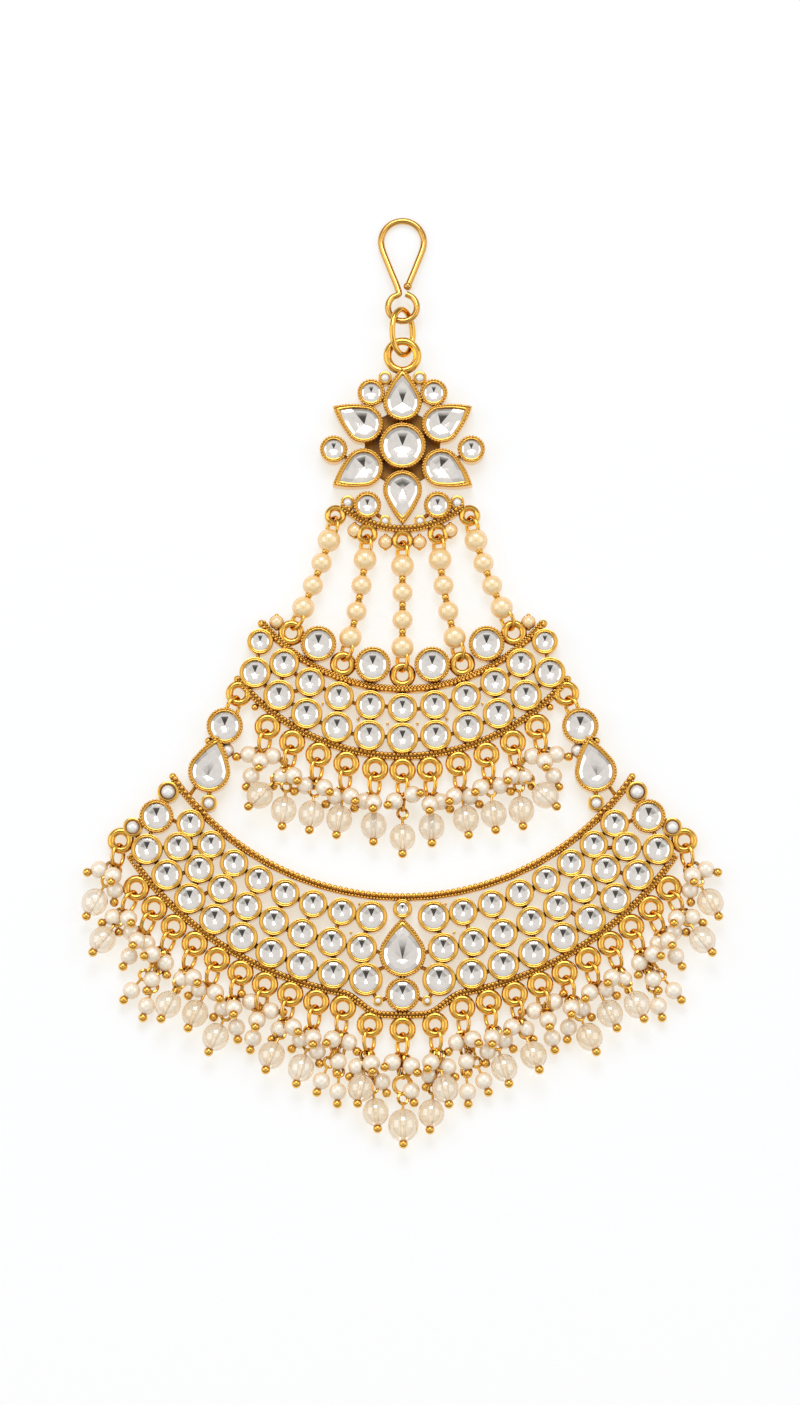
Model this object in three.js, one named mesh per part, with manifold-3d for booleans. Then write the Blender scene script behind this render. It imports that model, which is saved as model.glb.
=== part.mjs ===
// A passa: a fan-shaped side hair ornament of gold-plated brass set with foiled glass stones, lying face up.
// Millimetres, +Z up, hair hook towards +Y. The flat back of the metal and the lowest beads are at z = 0.
import * as THREE from 'three';
import { mergeVertices } from 'three/addons/utils/BufferGeometryUtils.js';
import Module from 'manifold-3d';

const wasm = await Module();
wasm.setup();

// ---- driving dimensions, with heights above the surface that the piece lies on ----
const WEB_TOP = 0.8;        // thin web that carries the bezels
const EDGE_TOP = 2.2;       // walls under the rope edging
const CLEAR = 0.1;          // what stands on the web starts this far above its underside
const BEZEL_TOP = 2.8;
const STONE_TOP = 2.95;     // crown of a small stone
const SEAT = 1.4;           // floor of an open bezel
const GAP = 0.3;            // clearance between separate pieces
const RIM = 0.55;           // wall of an open bezel
const EDGE_WIDTH = 1.2;
const WEB_INSET = 0.6;      // degrees by which the web stops short of the ends of its walls
const ROUND_STONE = { girdle: 2.5, table: 2.9, tableShare: 0.75 };
const PEAR_STONE = { girdle: 2.5, tableFoot: 2.0, table: 2.9, inset: 0.6, tipInset: 1.9 };
const PEAR_TIP = 3.2;       // a pear's tip draws in this many times as far as its round end
const EYE_HEIGHT = 1.45;    // middle of the wire of the cast eyes
const EYE = { radius: 1.62, wire: 0.42 };
const EYE_OUT = EDGE_WIDTH / 2 + EYE.radius + 0.05;  // from the edging's middle line to an eye's centre
const CORNER_HANG = 10;     // degrees by which the drops at the corners lean out
const LINK = { halfWidth: 1.45, halfLength: 1.8, wire: 0.22, roll: 55 };
const LINK_REACH = 2.65;    // from the middle of the eye's wire to the far end of the link
const LINK_HOLD = 0.15;     // the headpins start this far inside that end
const BEAD = { pearl: 1.4, crystal: 2.1, tip: 2.45 };
const BALL = 0.75;          // end of a headpin
const BALL_AT = 0.75;       // its centre lies this many of its radii beyond the bead
// the outline of a bead and its ball end, as shares of the bead's and the ball's radius
const BEAD_OUTLINE = { side: 0.96, halfHeight: 0.4, ballSide: 0.9, ballAt: 0.3, ballEnd: 1.5 };
const SIDES = { stud: 6, bezel: 10, disc: 12, pearl: 4, crystal: 5 };
const PIN = 0.24;
const KNOT = 0.8;           // where the headpins meet on the link
// how the beads of the fringe are kept apart: the rounds of pushing, how far off two beads are looked at,
// and the room left between beads, round another drop's link end, round its pins and round their own end
const SETTLE = { rounds: 200, near: 8, beads: 0.3, root: 1.1, pin: 0.6, own: 0.5 };

// the crescents are parts of circles, each given by its lowest point and its radius
const UPPER = {
  head: { low: -39.7, radius: 28.8, half: 51, steps: 14 },
  foot: { low: -50.6, radius: 34.0, half: 50.7, steps: 14 },
  crown: { low: -36.3, radius: 25.4, angles: [-32, -10.8, 10.8, 32], bezel: 2.85 },
  rings: { low: -37.4, radius: 26.5, angles: [-42.3, -21.1, 0, 21.1, 42.3] },
  rows: [
    { low: -42.9, radius: 28.3, count: 9, step: 10.5, bezel: 2.3 },
    { low: -47.8, radius: 31.5, count: 11, step: 9.7, bezel: 2.45 },
  ],
  horn: { x: 22.8, y: -32.1, bezel: 2.1 },
  tips: [{ x: 22.4, y: -29.2, radius: 0.9 }, { x: 20.4, y: -28.9, radius: 1.0 }],
  tipHeight: 1.2,
  eyes: { first: 6.9, step: 7.4, count: 5, splay: 0.3 },
  corner: { x: 26.2, y: -40.4 },
};
const LOWER = {
  head: { low: -73.3, radius: 44.4, half: 55, steps: 18 },
  foot: { low: -89.5, radius: 52.7, half: 55.4, steps: 28 },
  lobe: { depth: 2.7, flat: 3.5, end: 9.5 },
  rows: [
    { low: -76.8, radius: 45.1, first: 6.3, count: 8, bezel: 2.2 },
    { low: -82.0, radius: 46.4, first: 8.0, count: 8, bezel: 2.3 },
    { low: -86.9, radius: 49.7, first: 6.7, count: 9, bezel: 2.43 },
  ],
  step: 6.03,
  horn: [
    { x: 39.2, y: -60.4, bezel: 2.7 },
    { x: 37.4, y: -56.4, bezel: 1.7 },
    { x: 43.0, y: -62.1, bezel: 1.5 },
  ],
  cap: [[44.3, -64.6], [43.9, -61.3], [39.6, -57.2]],
  pear: { round: 3.68, length: 9.5, tip: -76.7 },
  foot_stone: { y: -89.0, bezel: 2.7 },
  head_stone: { y: -75.3, bezel: 1.55 },
  arm: { x: 28.4, y: -45.8, bezel: 2.9 },
  arm_pear: { tipX: 29.4, tipY: -47.4, turn: 14, round: 3.35, length: 9.3 },
  arm_cups: [[30.9, -58.2, 1.9], [28.3, -49.1, 1.0], [33.2, -57.6, 1.9]],
  eyes: { first: 5.4, step: 4.5, count: 11, splay: 0.5 },
  corner: { x: 44.9, y: -64.2 },
};
const ROSETTE = {
  centre: 3.76,
  web: 10.4,
  petal: { round: 3.12, length: 8.9, start: 4.1 },
  rounds: [{ angle: 30, at: 10.1 }, { angle: 93, at: 11.1 }, { angle: 150, at: 11.3 }],
  round: 2.2,
  skirt: { x: 6, y: -6 },
  edge: { low: -13.5, radius: 14.6, half: 42, steps: 8 },
  eyes: { angles: [-41, -20.4, 0, 20.4, 41], radius: 1.3, wire: 0.4 },
  cups: [[2.1, 11.3, 1.5], [8.8, -9.3, 1.05], [2.8, -12.4, 0.9]],
};
const BAIL = { y: 14.9, radius: 2.43, wire: 0.67 };
const JUMP_RING = { y: 18.85, halfWidth: 2.35, halfLength: 3.75, wire: 0.48, roll: 45 };
const HOOK = { eyeY: 23.0, eye: 2.33, neckY: 26.2, shoulderY: 33.4, loop: 3.47, topY: 34.3, wire: 0.53 };
const HOOK_LEGS = { neck: 0.75, waist: 2.1, openNeck: 0.85, openRise: 0.4, end: 0.7 };
const HOOK_ARCS = { eye: { from: 75, to: -255, step: 30 }, loop: { from: 190, to: -10, step: 25 } };
const RAISED = 2.15;        // height of the bail, the jump ring and the hook's eye
// pearls from the flower down, and how far the first and the last are from their eyes
const STRAND = {
  pearls: [1.9, 1.7, 1.7, 1.85], spacer: 0.5, bow: 1.4, rise: 1.2, bowAt: 0.45, first: 4.3, last: 4.5,
};

// ---- bunches of beads: kind, aside (towards the middle), along (from the eye's centre), height ----
const BUNCHES = {
  trio: [
    ['pearl', -2.1, 5.0, 1.5], ['pearl', 0.1, 6.0, 3.6], ['pearl', 1.6, 5.2, 1.5],
    ['pearl', -0.6, 8.6, 1.5],
  ],
  centre: [['pearl', -2.0, 5.1, 3.4], ['pearl', 2.0, 5.2, 3.4], ['crystal', 0, 10.9, 2.1]],
  spray: [['pearl', -1.7, 5.3, 1.6], ['pearl', 1.7, 5.6, 3.6], ['crystal', 0.1, 9.2, 2.1]],
  drop: [['pearl', 1.5, 5.6, 3.2], ['pearl', -1.6, 5.4, 1.5], ['crystal', -0.7, 9.0, 2.1]],
  double: [
    ['pearl', 1.2, 5.7, 3.8], ['pearl', -1.6, 5.2, 1.6], ['crystal', -2.5, 8.2, 2.1],
    ['crystal', 0.6, 10.4, 2.1],
  ],
  trail: [
    ['pearl', 0.6, 6.0, 3.6], ['pearl', -2.2, 6.2, 1.5], ['pearl', 1.7, 8.7, 1.4],
    ['crystal', -0.8, 10.6, 2.2],
  ],
  corner: [
    ['pearl', -2.5, 5.2, 1.6], ['pearl', 0, 6.2, 3.6], ['pearl', 0.5, 8.8, 1.4],
    ['crystal', -2.0, 10.4, 2.1],
  ],
  pearls: [
    ['pearl', -1.5, 5.4, 3.4], ['pearl', 1.4, 6.3, 1.5], ['pearl', -0.2, 8.8, 1.4],
    ['pearl', -1.8, 11.4, 1.5], ['pearl', 0.8, 13.1, 1.5],
  ],
  heart: [
    ['pearl', 1.2, 6.4, 3.6], ['pearl', -2.0, 5.9, 1.5], ['pearl', 2.2, 9.0, 1.4],
    ['crystal', -1.6, 10.1, 2.2], ['crystal', 1.5, 13.4, 2.1],
  ],
  tip: [
    ['pearl', -1.3, 5.9, 3.4], ['pearl', 2.1, 5.4, 3.2], ['pearl', -3.0, 8.8, 1.4],
    ['tip', 0, 15.0, 2.45],
  ],
};
// from the middle outwards, alike on both sides
const UPPER_BUNCHES = ['centre', 'spray', 'drop', 'spray', 'double', 'trio'];
const LOWER_BUNCHES = ['tip', 'heart', 'pearls', 'trail', 'drop', 'trio', 'trail', 'drop', 'spray', 'pearls',
  'trio', 'drop', 'corner'];

// ---- materials ----
const brass = { color: '#c9922f', roughness: 0.25, metalness: 1 };
const glass = { color: '#d9dadb', roughness: 0.06, metalness: 0 };
const beads = { color: '#efe0c6', roughness: 0.22, metalness: 0 };

// ---- solids ----
function solid(geometry) {
  for (const name of Object.keys(geometry.attributes)) {
    if (name !== 'position') geometry.deleteAttribute(name);
  }
  const merged = mergeVertices(geometry, 1e-4);
  return new wasm.Manifold(new wasm.Mesh({
    numProp: 3,
    vertProperties: Float32Array.from(merged.attributes.position.array),
    triVerts: Uint32Array.from(merged.index.array),
  }));
}

function join(parts) {
  return parts.reduce((whole, part) => whole.add(part));
}

function geometryOf(part) {
  const { numProp, vertProperties, triVerts } = part.getMesh();
  const geometry = new THREE.BufferGeometry();
  const places = new Float32Array(triVerts.length * 3);
  triVerts.forEach((vertex, corner) => {
    places.set(vertProperties.subarray(vertex * numProp, vertex * numProp + 3), corner * 3);
  });
  geometry.setAttribute('position', new THREE.BufferAttribute(places, 3));
  geometry.computeVertexNormals();
  return geometry;
}

const radians = THREE.MathUtils.degToRad;

function prism(outline, bottom, top) {
  const height = { depth: top - bottom, bevelEnabled: false };
  return solid(new THREE.ExtrudeGeometry(new THREE.Shape(outline), height).translate(0, 0, bottom));
}

// a solid of revolution about a vertical axis at (x, y), from [radius, height] pairs
function turned(x, y, profile, sides) {
  const geometry = new THREE.LatheGeometry(profile.map(([r, z]) => new THREE.Vector2(r, z)), sides);
  return solid(geometry.rotateX(Math.PI / 2).translate(x, y, 0));
}

// a small bezel with its stone, as one stud
function studBezel({ x, y }, radius, sides = SIDES.stud) {
  return turned(x, y, [[0, 2 * CLEAR], [radius, 2 * CLEAR], [radius, BEZEL_TOP], [0, STONE_TOP]], sides);
}

// an open bezel that a separate stone sits in
function openBezel({ x, y }, radius) {
  const inner = radius - RIM;
  return turned(x, y, [
    [0, CLEAR], [radius, CLEAR], [radius, BEZEL_TOP], [inner, BEZEL_TOP], [inner, SEAT], [0, SEAT],
  ], SIDES.bezel);
}

// a round stone: straight girdle, sloping crown and flat table
function roundStone({ x, y }, bezel) {
  const radius = bezel - RIM - GAP;
  const { girdle, table, tableShare } = ROUND_STONE;
  return turned(x, y, [
    [0, SEAT + GAP], [radius, SEAT + GAP], [radius, girdle], [radius * tableShare, table], [0, table],
  ], SIDES.bezel);
}

// a pear outline with its round end at the origin and its tip along +Y
function pearOutline(round, length, steps = 7) {
  const points = [];
  const tip = length - round;
  const open = Math.acos(round / tip);
  for (let step = 0; step <= steps; step += 1) {
    const angle = open + (2 * Math.PI - 2 * open) * (step / steps);
    points.push(new THREE.Vector2(round * Math.sin(angle), round * Math.cos(angle)));
  }
  points.push(new THREE.Vector2(0, tip));
  return points.reverse();
}

function placed(outline, x, y, turn) {
  return outline.map((point) => point.clone().rotateAround(new THREE.Vector2(), radians(turn))
    .add(new THREE.Vector2(x, y)));
}

function pearBezel({ round, length }, x, y, turn) {
  const wall = prism(placed(pearOutline(round, length), x, y, turn), CLEAR, BEZEL_TOP);
  const inside = placed(pearOutline(round - RIM, length - PEAR_TIP * RIM), x, y, turn);
  return wall.subtract(prism(inside, SEAT, BEZEL_TOP + 1));
}

// a pear stone: a straight girdle with a smaller raised pear for its table
function pearStone({ round, length }, x, y, turn) {
  const inset = RIM + GAP;
  const stone = { round: round - inset, length: length - PEAR_TIP * inset };
  const girdle = pearOutline(stone.round, stone.length);
  const table = pearOutline(stone.round - PEAR_STONE.inset, stone.length - PEAR_STONE.tipInset);
  return prism(placed(girdle, x, y, turn), SEAT + GAP, PEAR_STONE.girdle)
    .add(prism(placed(table, x, y, turn), PEAR_STONE.tableFoot, PEAR_STONE.table));
}

// a closed wire ring, oval along +Y, turned about +Y by roll and about +Z by turn
function wireRing({ halfWidth, halfLength, wire, roll }, centre, turn, sides = 3, steps = 6) {
  const geometry = new THREE.TorusGeometry(halfWidth, wire, sides, steps);
  const places = geometry.attributes.position;
  const stretch = halfLength / (halfWidth * (steps % 4 ? Math.cos(Math.PI / steps) : 1));
  for (let index = 0; index < places.count; index += 1) places.setY(index, places.getY(index) * stretch);
  geometry.rotateY(radians(roll)).rotateZ(radians(turn)).translate(centre.x, centre.y, centre.z);
  return solid(geometry);
}

function flatRing(radius, wire, x, y, z, turn = 90, sides = 4, steps = 6) {
  const geometry = new THREE.TorusGeometry(radius, wire, sides, steps);
  return solid(geometry.rotateZ(radians(turn)).translate(x, y, z));
}

function ball(radius, centre, around = 6, up = 4) {
  return solid(new THREE.SphereGeometry(radius, around, up).translate(centre.x, centre.y, centre.z));
}

function rod(from, to, radius, sides = 4) {
  const geometry = new THREE.CylinderGeometry(radius, radius, from.distanceTo(to), sides);
  const along = to.clone().sub(from).normalize();
  geometry.applyQuaternion(new THREE.Quaternion().setFromUnitVectors(new THREE.Vector3(0, 1, 0), along));
  const middle = from.clone().add(to).multiplyScalar(0.5);
  return solid(geometry.translate(middle.x, middle.y, middle.z));
}

// ---- places on the crescents ----
// angle in degrees from the lowest point, positive towards +X; out is a distance outwards from the circle
function arcPoint({ low, radius }, angle, out = 0) {
  const a = radians(angle);
  return new THREE.Vector2((radius + out) * Math.sin(a), low + radius - (radius + out) * Math.cos(a));
}

// the lower crescent's foot drops into a lobe in its middle
function lowerFoot(angle, out = 0) {
  const point = arcPoint(LOWER.foot, angle, out);
  const { depth, flat, end } = LOWER.lobe;
  point.y -= depth * (1 - THREE.MathUtils.smoothstep(Math.abs(point.x), flat, end));
  return point;
}

function upperFoot(angle, out = 0) {
  return arcPoint(UPPER.foot, angle, out);
}

function line(place, { half, steps }, out) {
  return Array.from({ length: steps + 1 }, (_, step) => place(half * (2 * step / steps - 1), out));
}

// a wall of even width along a line of places
function wall(place, edge) {
  const outer = line(place, edge, EDGE_WIDTH / 2);
  const inner = line(place, edge, -EDGE_WIDTH / 2);
  return prism([...outer, ...inner.reverse()], CLEAR, EDGE_TOP);
}

// the same line, a little short of the ends of its wall
function inset(place, { half, steps }) {
  return line(place, { half: half - WEB_INSET, steps });
}

// the thin web between two edges that carries the bezels
function web(foot, footEdge, head, headEdge, cap = []) {
  const right = cap.map(([x, y]) => new THREE.Vector2(x, y));
  const left = cap.map(([x, y]) => new THREE.Vector2(-x, y)).reverse();
  const outline = [...inset(foot, footEdge), ...right, ...inset(head, headEdge).reverse(), ...left];
  return prism(outline, 0, WEB_TOP);
}

// ---- frames ----
function eyeRing(place, hang = 0) {
  return flatRing(EYE.radius, EYE.wire, place.x, place.y, EYE_HEIGHT, 90 + hang);
}

function bothSides(make) {
  return [-1, 1].flatMap((side) => make(side));
}

// each eye: its place, and the way that its drop hangs in degrees from straight down
function eyePlaces(foot, { first, step, count, splay }, corner) {
  const eyes = [{ place: foot(0, EYE_OUT), hang: 0, rank: 0, side: 1 }];
  for (let rank = 1; rank <= count; rank += 1) {
    for (const side of [-1, 1]) {
      const angle = side * (first + step * (rank - 1));
      eyes.push({ place: foot(angle, EYE_OUT), hang: angle * splay, rank, side });
    }
  }
  if (corner) {
    for (const side of [-1, 1]) {
      const place = new THREE.Vector2(side * corner.x, corner.y);
      eyes.push({ place, hang: side * CORNER_HANG, rank: count + 1, side });
    }
  }
  return eyes;
}

const upperEyes = eyePlaces(upperFoot, UPPER.eyes);
const lowerEyes = eyePlaces(lowerFoot, LOWER.eyes, LOWER.corner);

function rowPlaces(row) {
  const { count, step } = row;
  return Array.from({ length: count }, (_, index) => arcPoint(row, (index - (count - 1) / 2) * step));
}

function mirroredRow(row) {
  const { count, first } = row;
  const right = Array.from({ length: count }, (_, index) => arcPoint(row, first + LOWER.step * index));
  return [...right.map(({ x, y }) => new THREE.Vector2(-x, y)).reverse(), ...right];
}

function crownRing(angle) {
  return arcPoint(UPPER.rings, angle);
}

function upperCrescent() {
  const head = (angle, out) => arcPoint(UPPER.head, angle, out);
  const rows = UPPER.rows.map(rowPlaces);
  const parts = [
    web(upperFoot, UPPER.foot, head, UPPER.head),
    wall(upperFoot, UPPER.foot),
    wall(head, UPPER.head),
    ...rows.flatMap((row, index) => row.map((place) => studBezel(place, UPPER.rows[index].bezel))),
    ...UPPER.crown.angles.map((angle) => openBezel(arcPoint(UPPER.crown, angle), UPPER.crown.bezel)),
    ...UPPER.rings.angles.map((angle) => eyeRing(crownRing(angle))),
    ...upperEyes.map(({ place, hang }) => eyeRing(place, hang)),
    ...bothSides((side) => [
      studBezel({ x: side * UPPER.horn.x, y: UPPER.horn.y }, UPPER.horn.bezel),
      eyeRing({ x: side * UPPER.corner.x, y: UPPER.corner.y }),
      ...UPPER.tips.map(({ x, y, radius }) => ball(radius, { x: side * x, y, z: UPPER.tipHeight })),
    ]),
  ];
  return join(parts);
}

function lowerCrescent() {
  const head = (angle, out) => arcPoint(LOWER.head, angle, out);
  const rows = LOWER.rows.map(mirroredRow);
  const { pear, arm, arm_pear: armPear } = LOWER;
  const parts = [
    web(lowerFoot, LOWER.foot, head, LOWER.head, LOWER.cap),
    wall(lowerFoot, LOWER.foot),
    wall(head, LOWER.head),
    ...rows.flatMap((row, index) => row.map((place) => studBezel(place, LOWER.rows[index].bezel))),
    pearBezel(pear, ...centrePearPlace(), 0),
    studBezel({ x: 0, y: LOWER.foot_stone.y }, LOWER.foot_stone.bezel),
    studBezel({ x: 0, y: LOWER.head_stone.y }, LOWER.head_stone.bezel),
    ...lowerEyes.map(({ place, hang }) => eyeRing(place, hang)),
    ...bothSides((side) => [
      ...LOWER.horn.map(({ x, y, bezel }) => studBezel({ x: side * x, y }, bezel)),
      studBezel({ x: side * arm.x, y: arm.y }, arm.bezel, SIDES.disc),
      pearBezel(armPear, ...armPearPlace(side), side * armPear.turn),
      ...LOWER.arm_cups.map(([x, y, radius]) => studBezel({ x: side * x, y }, radius)),
      cornerLink(side),
    ]),
  ];
  return join(parts);
}

// centre of the round end of the middle pear bezel
function centrePearPlace() {
  const { tip, length, round } = LOWER.pear;
  return [0, tip - length + round];
}

// centre of the round end of an arm's pear bezel
function armPearPlace(side) {
  const { tipX, tipY, turn, round, length } = LOWER.arm_pear;
  const reach = length - round;
  return [side * (tipX + reach * Math.sin(radians(turn))), tipY - reach * Math.cos(radians(turn))];
}

// the wire ring soldered to an arm, which passes through the upper crescent's corner eye
function cornerLink(side) {
  const eye = new THREE.Vector3(side * UPPER.corner.x, UPPER.corner.y, EYE_HEIGHT);
  const arm = new THREE.Vector3(side * LOWER.arm.x, LOWER.arm.y, EYE_HEIGHT);
  return eyeLink(eye, arm.sub(eye).normalize(), side * LINK.roll, EYE.radius);
}

// a link round the wire of a flat eye, reaching away from the eye's centre along a direction
function eyeLink(eye, along, roll, radius) {
  const middle = radius + LINK_REACH - LINK.halfLength;
  const centre = eye.clone().addScaledVector(along, middle);
  const turn = THREE.MathUtils.radToDeg(Math.atan2(-along.x, along.y));
  return wireRing({ ...LINK, roll }, centre, turn);
}

function rosetteEye(angle) {
  const { edge, eyes } = ROSETTE;
  return arcPoint(edge, angle, EDGE_WIDTH / 2 + eyes.radius);
}

function rosetteFrame() {
  const { centre, web: disc, petal, rounds, round, edge, eyes, cups } = ROSETTE;
  const edgePlace = (angle, out) => arcPoint(edge, angle, out);
  const skirt = [1, -1].map((side) => new THREE.Vector2(side * ROSETTE.skirt.x, ROSETTE.skirt.y));
  const parts = [
    openBezel({ x: 0, y: 0 }, centre),
    turned(0, 0, [[0, 0], [disc, 0], [disc, WEB_TOP], [0, WEB_TOP]], SIDES.disc),
    prism([...inset(edgePlace, edge), ...skirt], CLEAR, WEB_TOP - CLEAR),
    wall(edgePlace, edge),
    ...petalTurns().map((turn) => pearBezel(petal, ...petalPlace(turn), turn)),
    ...bothSides((side) => [
      ...rounds.map(({ angle, at }) => studBezel({
        x: side * at * Math.sin(radians(angle)), y: at * Math.cos(radians(angle)),
      }, round)),
      ...cups.map(([x, y, radius]) => studBezel({ x: side * x, y }, radius)),
    ]),
    ...eyes.angles.map((angle) => {
      const { x, y } = rosetteEye(angle);
      return flatRing(eyes.radius, eyes.wire, x, y, EYE_HEIGHT);
    }),
    flatRing(BAIL.radius, BAIL.wire, 0, BAIL.y, RAISED, 90, 6, 12),
  ];
  return join(parts);
}

function petalTurns() {
  return Array.from({ length: 6 }, (_, index) => index * 60);
}

function petalPlace(turn) {
  const reach = ROSETTE.petal.start + ROSETTE.petal.round;
  return [-reach * Math.sin(radians(turn)), reach * Math.cos(radians(turn))];
}

// ---- hook and jump ring ----
function anglesDown({ from, to, step }) {
  const count = Math.floor((from - to) / step) + 1;
  return Array.from({ length: count }, (_, index) => radians(from - step * index));
}

// one round wire: an eye, two legs that meet at the neck and part to a round loop, sloping down to rest
function hook() {
  const { eyeY, eye, neckY, shoulderY, loop, topY, wire } = HOOK;
  const { neck, waist, openNeck, openRise, end } = HOOK_LEGS;
  const waistY = (neckY + shoulderY) / 2;
  const slope = (RAISED - wire) / (topY - eyeY);
  const at = (x, y) => new THREE.Vector3(x, y, RAISED - slope * Math.max(0, Math.min(y, topY) - eyeY));
  const points = [
    ...anglesDown(HOOK_ARCS.eye).map((angle) => at(eye * Math.cos(angle), eyeY + eye * Math.sin(angle))),
    at(-neck, neckY),
    at(-waist, waistY),
    ...anglesDown(HOOK_ARCS.loop).map((angle) => at(loop * Math.cos(angle), topY + loop * Math.sin(angle))),
    at(waist, waistY),
    at(openNeck, neckY + openRise),
  ];
  const path = new THREE.CatmullRomCurve3(points, false, 'centripetal');
  const section = new THREE.Shape().absarc(0, 0, wire, 0, 2 * Math.PI);
  const geometry = new THREE.ExtrudeGeometry(section, { steps: 32, curveSegments: 3, extrudePath: path });
  return solid(geometry).add(ball(end, points.at(-1)));
}

function jumpRing() {
  const centre = new THREE.Vector3(0, JUMP_RING.y, RAISED);
  return wireRing(JUMP_RING, centre, 0, 5, 12);
}

// ---- strings of pearls ----
function pearlStrand(index) {
  const top = rosetteEye(ROSETTE.eyes.angles[index]);
  const foot = crownRing(UPPER.rings.angles[index]);
  const eyeTop = new THREE.Vector3(top.x, top.y, EYE_HEIGHT);
  const eyeFoot = new THREE.Vector3(foot.x, foot.y, EYE_HEIGHT);
  const bow = new THREE.Vector3(-Math.sign(Math.round(top.x)) * STRAND.bow, 0, STRAND.rise);
  const bend = eyeTop.clone().lerp(eyeFoot, STRAND.bowAt).add(bow);
  const path = new THREE.QuadraticBezierCurve3(eyeTop, bend, eyeFoot);
  const length = path.getLength();
  const last = length - STRAND.last;
  const places = STRAND.pearls.map((_, pearl) => {
    const along = STRAND.first + (last - STRAND.first) * (pearl / (STRAND.pearls.length - 1));
    return path.getPointAt(along / length);
  });
  const down = places[0].clone().sub(eyeTop).setZ(0).normalize();
  const up = places.at(-1).clone().sub(eyeFoot).setZ(0).normalize();
  const ends = [
    eyeTop.clone().addScaledVector(down, ROSETTE.eyes.radius + LINK_REACH - LINK_HOLD),
    eyeFoot.clone().addScaledVector(up, EYE.radius + LINK_REACH - LINK_HOLD),
  ];
  const stops = [ends[0], ...places, ends[1]];
  const parts = [
    eyeLink(eyeTop, down, LINK.roll, ROSETTE.eyes.radius),
    eyeLink(eyeFoot, up, -LINK.roll, EYE.radius),
    ...places.map((place, pearl) => ball(STRAND.pearls[pearl], place, 6, 4)),
    ...stops.slice(1).map((stop, step) => rod(stops[step], stop, STRAND.spacer, 3)),
  ];
  return join(parts);
}

// ---- fringe ----
function hangBeads(eyes, bunches) {
  return eyes.flatMap(({ place, hang, rank, side }, drop) => {
    const away = radians(hang);
    const along = new THREE.Vector3(Math.sin(away), -Math.cos(away), 0);
    const aside = new THREE.Vector3(-side * Math.cos(away), -side * Math.sin(away), 0);
    const eye = new THREE.Vector3(place.x, place.y, EYE_HEIGHT);
    const end = EYE.radius + LINK_REACH;
    const root = eye.clone().addScaledVector(along, end - LINK_HOLD);
    const link = eye.clone().addScaledVector(along, end - LINK.halfLength);
    return BUNCHES[bunches[rank]].map(([kind, across, reach, height]) => ({
      drop,
      kind,
      radius: BEAD[kind],
      root,
      link,
      place: eye.clone().addScaledVector(along, reach).addScaledVector(aside, across).setZ(height),
    }));
  });
}

// a bead on its headpin, with the ball end that holds it, turned about the pin
function beadOnPin({ kind, root, place, radius }) {
  const { side, halfHeight, ballSide, ballAt, ballEnd } = BEAD_OUTLINE;
  const length = root.distanceTo(place);
  const profile = [
    [0, 0], [PIN, 0], [PIN, length - radius],
    [radius * side, length - radius * halfHeight], [radius * side, length + radius * halfHeight],
    [BALL * ballSide, length + radius + BALL * ballAt], [0, length + radius + BALL * ballEnd],
  ];
  const sides = kind === 'pearl' ? SIDES.pearl : SIDES.crystal;
  const geometry = new THREE.LatheGeometry(profile.map(([r, y]) => new THREE.Vector2(r, y)), sides);
  const along = place.clone().sub(root).normalize();
  geometry.applyQuaternion(new THREE.Quaternion().setFromUnitVectors(new THREE.Vector3(0, 1, 0), along));
  return solid(geometry.translate(...root));
}

function ballPlace(bead) {
  const way = bead.place.clone().sub(bead.root).normalize();
  return bead.place.clone().addScaledVector(way, bead.radius + BALL * BALL_AT);
}

// the place on a bead's headpin that is nearest to a point
function nearestOnPin(bead, point) {
  return new THREE.Line3(bead.root, bead.place).closestPointToPoint(point, true, new THREE.Vector3());
}

function pushApart(bead, from, other, to, distance) {
  const way = from.clone().sub(to);
  const short = distance - way.length();
  if (short <= 0) return;
  way.normalize().multiplyScalar(short * 0.5);
  bead.place.add(way);
  if (other) other.place.sub(way);
}

// moves a bead away from the link end, the link and the headpins of another drop
function clearOf(bead, other) {
  pushApart(bead, bead.place, null, other.root, bead.radius + SETTLE.root);
  pushApart(bead, bead.place, null, other.link, bead.radius + LINK.halfWidth);
  pushApart(bead, bead.place, null, nearestOnPin(other, bead.place), bead.radius + SETTLE.pin);
  const end = ballPlace(bead);
  pushApart(bead, end, null, nearestOnPin(other, end), BALL + SETTLE.pin);
}

// beads and pin ends push each other apart until none overlap, and nothing sinks below the surface
function settle(items) {
  for (let round = 0; round < SETTLE.rounds; round += 1) {
    for (let one = 0; one < items.length; one += 1) {
      const bead = items[one];
      for (let two = one + 1; two < items.length; two += 1) {
        const other = items[two];
        if (bead.place.distanceTo(other.place) < SETTLE.near) {
          const sum = bead.radius + other.radius + SETTLE.beads;
          pushApart(bead, bead.place, other, other.place, sum);
          pushApart(bead, ballPlace(bead), other, other.place, BALL + other.radius + SETTLE.beads);
          pushApart(other, ballPlace(other), bead, bead.place, BALL + bead.radius + SETTLE.beads);
          pushApart(bead, ballPlace(bead), other, ballPlace(other), 2 * BALL + SETTLE.beads);
        }
        if (bead.drop !== other.drop) {
          clearOf(bead, other);
          clearOf(other, bead);
        }
      }
      pushApart(bead, bead.place, null, bead.root, bead.radius + SETTLE.own);
      bead.place.z = Math.max(bead.place.z, bead.radius);
      const lift = BALL - ballPlace(bead).z;
      if (lift > 0) bead.place.z += lift;
    }
  }
  return items;
}

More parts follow.
